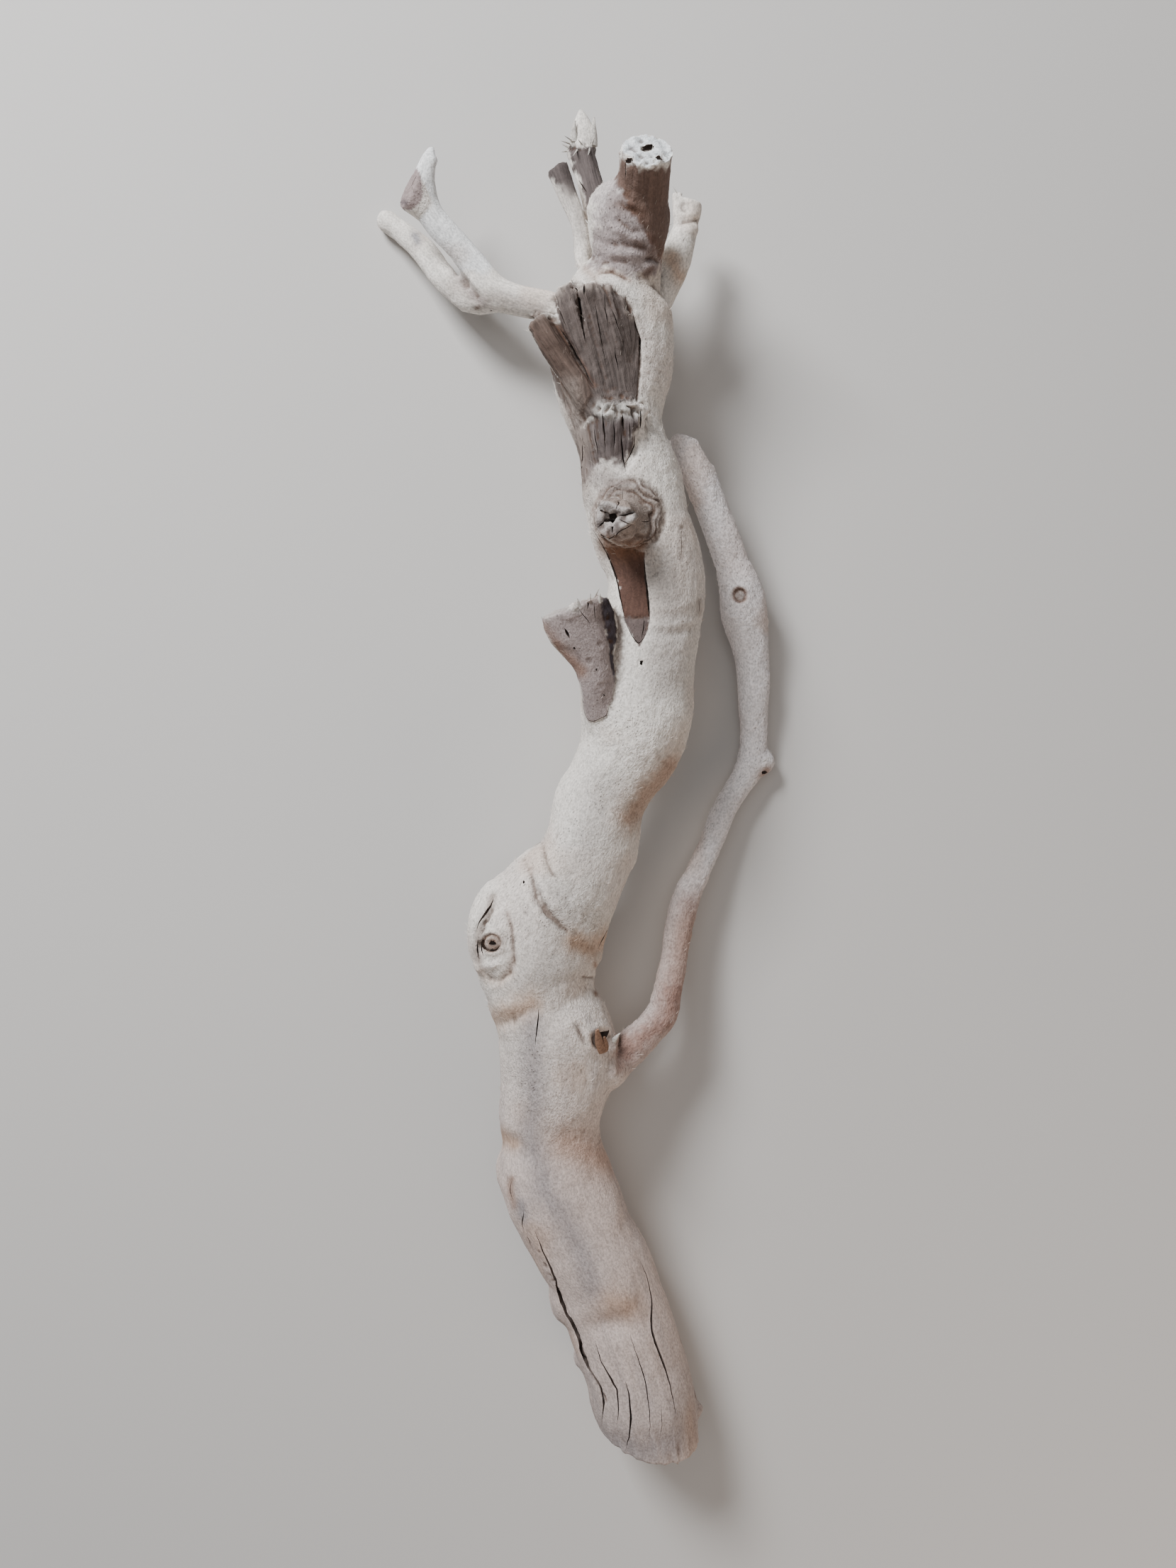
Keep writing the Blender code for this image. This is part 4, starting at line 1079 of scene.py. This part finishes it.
def dress_skin(material):
    """The tint, with painted shade in pits and between fibres and a little painted highlight on the bumps, over
    raised fibres, pits and grey streaks.
    """
    shader = shader_of(material, 0.85, 0.2)
    tint = node(material, "ShaderNodeAttribute", -2000, 500, attribute_name="tint").outputs["Color"]
    grain = node(material, "ShaderNodeAttribute", -2000, 0, attribute_name="grain").outputs["Vector"]
    wear = node(material, "ShaderNodeAttribute", -2000, -400, attribute_name="weathered").outputs["Fac"]
    pitted = node(material, "ShaderNodeAttribute", -2000, -600, attribute_name="pitted").outputs["Fac"]
    short_grain = stretched(material, -1800, 100, grain, SHORT_GRAIN)
    long_grain = stretched(material, -1800, -200, grain, LONG_GRAIN)
    bumps = noise(material, -1500, 300, short_grain, BUMP_SCALE, 3.0, 0.5)
    fine = noise(material, -1500, 100, short_grain, FINE_SCALE, 2.0)
    streaks = noise(material, -1500, -100, long_grain, STREAK_SCALE, 3.0)
    patches = noise(material, -1500, -300, short_grain, PATCH_SCALE, 2.0)
    pits = node(material, "ShaderNodeTexVoronoi", -1500, -500)
    pits.inputs["Scale"].default_value = PIT_SCALE
    wire(material, short_grain, pits.inputs["Vector"])
    edge = spread(material, -1200, -500, pits.outputs["Distance"], 0.10, 0.34, 0.0, 1.0)
    few = spread(material, -1200, -700, pits.outputs["Color"], 0.42, 0.58, 0.0, 1.0)
    in_patches = spread(material, -1200, -900, patches, 0.42, 0.56, 1.0, 0.0)
    open_pit = combine(material, -1000, -600, "MAXIMUM", edge, few)
    open_pit = combine(material, -800, -700, "MAXIMUM", open_pit, in_patches)
    open_pit = blend_of(material, -600, -650, pitted, 1.0, open_pit)
    # Painted shade and highlight: the colour follows the bumps' height, darker low and lighter high, and darker
    # still in the pits.
    painted_bump_shade = spread(material, -1200, 300, bumps, 0.34, 0.62, 0.72, 1.08)
    fine_shade = spread(material, -1200, 100, fine, 0.3, 0.7, 0.93, 1.06)
    pit_shade = spread(material, -400, -600, open_pit, 0.0, 1.0, 0.5, 1.0)
    shade = combine(material, -900, 250, "MULTIPLY", painted_bump_shade, fine_shade)
    shade = combine(material, -700, 150, "MULTIPLY", shade, pit_shade)
    # Where the wood is weathered, the colour follows the streaks' height too, as painted shade in their grooves
    # and painted highlight on their ridges.
    streak_shade = spread(material, -1200, -100, streaks, 0.3, 0.66, 0.6, 1.22)
    long_streak = spread(material, -1200, -250, streaks, 0.35, 0.65, 0.84, 1.04)
    calm = blend_of(material, -700, -50, pitted, long_streak, 1.0)
    shade = combine(material, -500, 100, "MULTIPLY", shade, calm)
    shade = blend_of(material, -300, 0, wear, shade, streak_shade)
    colour = node(material, "ShaderNodeVectorMath", -100, 300, operation="SCALE")
    wire(material, tint, colour.inputs[0])
    wire(material, shade, colour.inputs["Scale"])
    wire(material, colour.outputs["Vector"], shader.inputs["Base Color"])
    bump_share = spread(material, -900, -950, pitted, 0.0, 0.8, 0.15, 1.0)
    height = combine(material, -700, -900, "MULTIPLY", bumps, bump_share)
    patch_share = spread(material, -900, -800, patches, 0.36, 0.6, 1.0, 0.45)
    height = combine(material, -600, -800, "MULTIPLY", height, patch_share)
    pit_height = combine(material, -700, -1100, "MULTIPLY", open_pit, 0.35)
    height = combine(material, -500, -900, "ADD", height, pit_height)
    fine_height = combine(material, -500, -1100, "MULTIPLY", fine, 0.14)
    height = combine(material, -300, -900, "ADD", height, fine_height)
    fine_height = combine(material, -500, -1250, "MULTIPLY", fine, 0.2)
    streak_height = combine(material, -300, -1100, "ADD", streaks, fine_height)
    height = blend_of(material, -100, -900, wear, height, streak_height)
    bump = node(material, "ShaderNodeBump", 50, -700)
    bump.inputs["Strength"].default_value = 1.0
    bump.inputs["Distance"].default_value = BUMP_DEPTH
    wire(material, height, bump.inputs["Height"])
    wire(material, bump.outputs["Normal"], shader.inputs["Normal"])


def flecked(material, shader, scale, dark, light, low=0.0, high=1.0):
    """Mixes a dark and a light colour in fine flecks."""
    place = node(material, "ShaderNodeTexCoord", -800, 0)
    flecks = noise(material, -600, 0, place.outputs["Object"], scale, 3.0)
    ramp = node(material, "ShaderNodeValToRGB", -400, 0)
    for element, position, colour in zip(ramp.color_ramp.elements, (low, high), (dark, light)):
        element.position = position
        element.color = (*colour, 1)
    wire(material, flecks, ramp.inputs["Fac"])
    wire(material, ramp.outputs["Color"], shader.inputs["Base Color"])


dress_skin(skin_wood)
flecked(crack_wood, shader_of(crack_wood, 0.95, 0.1), 400.0, linear(CRACK_DARK), linear(CRACK_LIGHT))
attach(wood, "root")
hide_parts("grapevine_branch")

# The dead twig.
# A thin brown twig died and broke off here, and the living wood grew round it. Its stump
# still stands in the hole, with a frayed end.
TWIG_BROWN = (146, 114, 94)
TWIG_RIM, TWIG_FOOT = (-2.0, -151.0), (8.6, -155.0)


def add_sliver(shape, start, end, sag, radius, end_radius, sides, seed):
    """A tapered stick from start to end, bent sideways by sag, rough at its end."""
    start, end = np.array(start, dtype=float), np.array(end, dtype=float)
    way = unit(end - start)
    wide = unit(np.cross(way, (0.2, 0.1, 1.0)))
    deep = np.cross(wide, way)
    angles = np.linspace(0, 2 * np.pi, sides, endpoint=False)
    rings = []
    for share in np.linspace(0, 1, 6):
        centre = start + share * (end - start) + sag * math.sin(math.pi * share) * wide
        size = radius + (end_radius - radius) * share**1.5
        around = np.column_stack((3 * np.cos(angles), 3 * np.sin(angles), 0 * angles + 4 * share))
        rough = 1 + 0.22 * swing(around, 1.7, seed)
        spokes = (np.cos(angles) * rough)[:, None] * wide + 0.75 * (np.sin(angles) * rough)[:, None] * deep
        tip = way * (share == 1) * (0.5 * size * swing(spokes, 0.6, seed + 1))[:, None]
        rings.append(centre + size * spokes + tip)
    join_rings(shape, rings)


def add_piece(shape, name, material, crease):
    """A small piece of the branch's own wood, fixed where it stands."""
    mesh = mesh_of(shape, name, material)
    mesh.shade_smooth()
    mesh.set_sharp_from_angle(angle=math.radians(crease))
    piece = object_from(mesh, name)
    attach(piece, "root")


def plain_wood(name, colour, roughness):
    """A plain dry wood with fine flecks."""
    material = bpy.data.materials.new(name)
    shader = shader_of(material, roughness, 0.2)
    flecked(material, shader, 900.0, 0.55 * linear(colour), 1.1 * linear(colour), 0.3, 0.7)
    return material


twig_shape = bmesh.new()
rim_point, foot_point = [skin_under(np.array(place), tree)[0] for place in (TWIG_RIM, TWIG_FOOT)]
foot_point[2] = rim_point[2] - 7.5
end_point = foot_point + (-3.4, 13.5, 9.0)
add_sliver(twig_shape, foot_point, end_point, -0.5, 3.1, 1.1, 14, 3)
add_sliver(twig_shape, foot_point + (1.6, 0.5, 0.5), foot_point + (0.8, 9.0, 6.0), 0.4, 1.6, 0.7, 8, 5)
add_piece(twig_shape, "dead_twig", plain_wood("dead twig wood", TWIG_BROWN, 0.8), 40)

# The torn splinters.
# Where a stub broke before it was sawn, and along the dead slab, slivers of wood stand
# off the edge. Each is a thin flat stick that tapers to a point.
# seen root and tip, the tip's rise towards the eye, and the radius at the root
SPLINTERS = [
    ((-11, 373), (-15.5, 375.2), 1, 0.9), ((-10, 375), (-16, 377.0), 4, 0.7),
    ((-12, 371), (-15.5, 370.4), 3, 0.7), ((-8, 376), (-14, 380), 5, 0.6), ((-3, 374), (-6, 378), 4, 0.6),
    ((2, 374), (4, 379), 3, 0.6), ((-6, 372), (-9, 368), 6, 0.6), ((1, 373), (0, 368.5), 5, 0.6),
    ((-34, 262), (-38.5, 265), 2, 0.6), ((-33, 260), (-37, 259), 1, 0.5), ((-35, 268), (-38, 272), 2, 0.4),
    ((4, 109), (6.6, 114.5), 3, 0.6), ((-5, 107), (-6.5, 112.5), 2, 0.6), ((1, 107), (1.5, 111.5), 2, 0.5),
    ((13, 219), (15, 224), 3, 0.8), ((26, 220), (28, 223.5), 3, 0.8), ((10, 219), (9, 223), 2, 0.7),
    ((53, 345), (50, 350), 1, 0.4), ((58, 322), (55, 318), 2, 0.3), ((101, 12), (107, 16), 1, 0.3),
    ((-8, 292), (-10, 296), 1, 0.5), ((-57.4, -68), (-64.4, -86.5), -2.0, 1.2),
    ((14.5, -151), (19.0, -145.8), 0.6, 1.8), ((15, 289), (17, 293), 1, 0.5),
    ((-111, 343), (-115, 340), 1, 0.4), ((-13, 403), (-15, 407), 0, 0.4),
]
# the same, with the radius at the tip too
TORN_PLATES = [
    ((-5.5, 104), (-6.2, 108.4), 0.6, 1.3, 0.3), ((6.5, 106), (6.8, 111.2), 0.8, 1.2, 0.3),
    ((2.5, 374), (3.6, 391), 0, 2.8, 0.5), ((-8, 376), (-7.5, 389), 0, 2.4, 0.5),
]
SPLINTER_TIP = 0.08
SPLINTER_PALE = (206, 200, 192)
splinter_shape = bmesh.new()
slivers = [(*row, SPLINTER_TIP) for row in SPLINTERS] + TORN_PLATES
for seed, (root, tip, tip_height, radius, tip_radius) in enumerate(slivers):
    root_surface, _ = skin_under(np.array(root, dtype=float), tree)
    if root_surface is None:
        continue
    toward = unit(EYE - root_surface)
    start = root_surface - toward
    step = np.array(tip, dtype=float) - root
    end = start + (*step, 0) + toward * (1 + tip_height)
    sag = 0.4 * swing(np.array([start]), 5, seed)[0]
    add_sliver(splinter_shape, start, end, sag, radius, tip_radius, 6, seed)
add_piece(splinter_shape, "torn_splinters", plain_wood("torn pale wood", SPLINTER_PALE, 0.85), 60)

# The lifted fibres.
# Sandblasting lifts short fibres off the wood all over. They are as thin as hair, lie
# mostly along the grain and stand up a little at one end.
FIBRES_PER_SQUARE_METRE = 48000.0
FIBRE_SEED = 7
FIBRE_PALE = (220, 210, 196)
CLEAR_OF_TABLE = (6.0, 10.0)
# how far along and up each ring of a fibre lies, and its radius
FIBRE_RINGS = ((0, 0, 0.10), (1.1, 0.10, 0.09), (2.2, 0.42, 0.015))
FIBRE_CORNERS = (1.57, 3.67, 5.76)
fibre_ground = object_from(wood.data.copy(), "lifted_fibres")
ground_points = vertex_positions(fibre_ground.data)
thick = eased(roughness_of(ground_points, limb), 0.45, 0.9)
for reach, _, _, line in RAGGED_RIMS[3:]:
    thick += 1.2 * fading(from_line(as_seen(ground_points), line)[0], reach)
thick *= eased(ground_points[:, 2], *CLEAR_OF_TABLE)
keep_on_points(fibre_ground.data, "fuzz", "FLOAT", np.clip(thick, 0, 3) / 3)
keep_on_points(fibre_ground.data, "fibre_way", "FLOAT_VECTOR", along)
fibre_wood = bpy.data.materials.new("lifted pale fibre")
fibre_shader = shader_of(fibre_wood, 0.8, 0.2)
fibre_tint = node(fibre_wood, "ShaderNodeAttribute", -600, 0, attribute_name="tint")
fibre_mix = node(fibre_wood, "ShaderNodeMix", -300, 0, data_type="RGBA")
fibre_mix.inputs[0].default_value = 0.35
fibre_mix.inputs[7].default_value = (*linear(FIBRE_PALE), 1)
wire(fibre_wood, fibre_tint.outputs["Color"], fibre_mix.inputs[6])
wire(fibre_wood, fibre_mix.outputs[2], fibre_shader.inputs["Base Color"])
fibre_rings = []
for length, lift, size in FIBRE_RINGS:
    corners = [(length, size * math.cos(angle), lift + size * math.sin(angle)) for angle in FIBRE_CORNERS]
    fibre_rings.append(np.array(corners))
fibre_shape = bmesh.new()
join_rings(fibre_shape, fibre_rings)
one_fibre = object_from(mesh_of(fibre_shape, "one fibre", fibre_wood), "one_fibre")


def fibre_tree():
    """Sows fibres on the wood, turns each along the grain with its end up, and makes them real."""
    tree = bpy.data.node_groups.new("sow fibres", "GeometryNodeTree")
    kinds = {"Geometry": "Geometry", "Fibre": "Object", "Density": "Float", "Seed": "Int", "Material": "Material"}
    for name, kind in kinds.items():
        tree.interface.new_socket(name, in_out="INPUT", socket_type="NodeSocket" + kind)
    tree.interface.new_socket("Geometry", in_out="OUTPUT", socket_type="NodeSocketGeometry")
    add, join = tree.nodes.new, tree.links.new
    given, result = add("NodeGroupInput"), add("NodeGroupOutput")
    fuzz, way = add("GeometryNodeInputNamedAttribute"), add("GeometryNodeInputNamedAttribute")
    fuzz.data_type, way.data_type = "FLOAT", "FLOAT_VECTOR"
    fuzz.inputs["Name"].default_value, way.inputs["Name"].default_value = "fuzz", "fibre_way"
    density = add("ShaderNodeMath")
    density.operation = "MULTIPLY"
    join(given.outputs["Density"], density.inputs[0])
    join(fuzz.outputs["Attribute"], density.inputs[1])
    sow = add("GeometryNodeDistributePointsOnFaces")
    join(given.outputs["Geometry"], sow.inputs["Mesh"])
    join(density.outputs[0], sow.inputs["Density"])
    join(given.outputs["Seed"], sow.inputs["Seed"])
    lay = add("FunctionNodeAlignRotationToVector")
    lay.axis, lay.pivot_axis = "X", "Z"
    join(sow.outputs["Rotation"], lay.inputs["Rotation"])
    join(way.outputs["Attribute"], lay.inputs["Vector"])
    turn = add("FunctionNodeRandomValue")
    turn.data_type = "FLOAT_VECTOR"
    turn.inputs[0].default_value, turn.inputs[1].default_value = (-0.3, -0.75, -0.7), (0.3, -0.05, 0.7)
    join(given.outputs["Seed"], turn.inputs["Seed"])
    as_turn = add("FunctionNodeEulerToRotation")
    join(turn.outputs[0], as_turn.inputs[0])
    lift = add("FunctionNodeRotateRotation")
    lift.rotation_space = "LOCAL"
    join(lay.outputs[0], lift.inputs[0])
    join(as_turn.outputs[0], lift.inputs[1])
    size = add("FunctionNodeRandomValue")
    size.data_type = "FLOAT"
    size.inputs[2].default_value, size.inputs[3].default_value = 0.4, 1.5
    place = add("GeometryNodeInstanceOnPoints")
    fibre = add("GeometryNodeObjectInfo")
    join(given.outputs["Fibre"], fibre.inputs["Object"])
    join(sow.outputs["Points"], place.inputs["Points"])
    join(fibre.outputs["Geometry"], place.inputs["Instance"])
    join(lift.outputs[0], place.inputs["Rotation"])
    join(size.outputs[1], place.inputs["Scale"])
    real, paint = add("GeometryNodeRealizeInstances"), add("GeometryNodeSetMaterial")
    join(place.outputs["Instances"], real.inputs["Geometry"])
    join(real.outputs["Geometry"], paint.inputs["Geometry"])
    join(given.outputs["Material"], paint.inputs["Material"])
    join(paint.outputs["Geometry"], result.inputs["Geometry"])
    return tree


sowing = fibre_ground.modifiers.new("Sown fibres", "NODES")
sowing.node_group = fibre_tree()
choices = {"Fibre": one_fibre, "Density": FIBRES_PER_SQUARE_METRE, "Seed": FIBRE_SEED, "Material": fibre_wood}
for item in sowing.node_group.interface.items_tree:
    if item.in_out == "INPUT" and item.name in choices:
        sowing[item.identifier] = choices[item.name]
fibre_ground.data = finished_mesh(fibre_ground)
fibre_ground.modifiers.clear()
bpy.data.objects.remove(one_fibre)
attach(fibre_ground, "root")

# The table and the light.
# A plain pale table, a broad soft light from beyond the head of the branch, as from a
# window, and a weak light from everywhere else.
table_shape = bmesh.new()
bmesh.ops.create_grid(table_shape, x_segments=1, y_segments=1, size=3.0)
table_mesh = bpy.data.meshes.new("table")
table_shape.to_mesh(table_mesh)
table_shape.free()
table = object_from(table_mesh, "table")
table_paint = bpy.data.materials.new("pale table")
shader_of(table_paint, 0.9, 0.5).inputs["Base Color"].default_value = (0.56, 0.54, 0.52, 1)
table.data.materials.append(table_paint)


def add_light(name, place, size, power, colour):
    """A soft square lamp that faces the middle of the table."""
    lamp = bpy.data.lights.new(name, "AREA")
    lamp.shape = "SQUARE"
    lamp.size = size
    lamp.energy = power
    lamp.color = colour
    obj = bpy.data.objects.new(name, lamp)
    obj.location = place
    obj.rotation_euler = (-Vector(place)).to_track_quat("-Z", "Y").to_euler()
    bpy.context.scene.collection.objects.link(obj)


add_light("window", (-0.95, 1.35, 1.3), 0.7, 70, (0.96, 0.98, 1.0))
add_light("ceiling", (-0.2, 0.2, 1.9), 1.4, 8, (1.0, 1.0, 1.0))
add_light("warm wall", (0.7, -1.0, 0.5), 0.8, 5, (1.0, 0.8, 0.64))
world = bpy.data.worlds.new("studio")
world.use_nodes = True
world.node_tree.nodes["Background"].inputs["Color"].default_value = (0.95, 0.96, 1.0, 1)
world.node_tree.nodes["Background"].inputs["Strength"].default_value = 0.14
bpy.context.scene.world = world
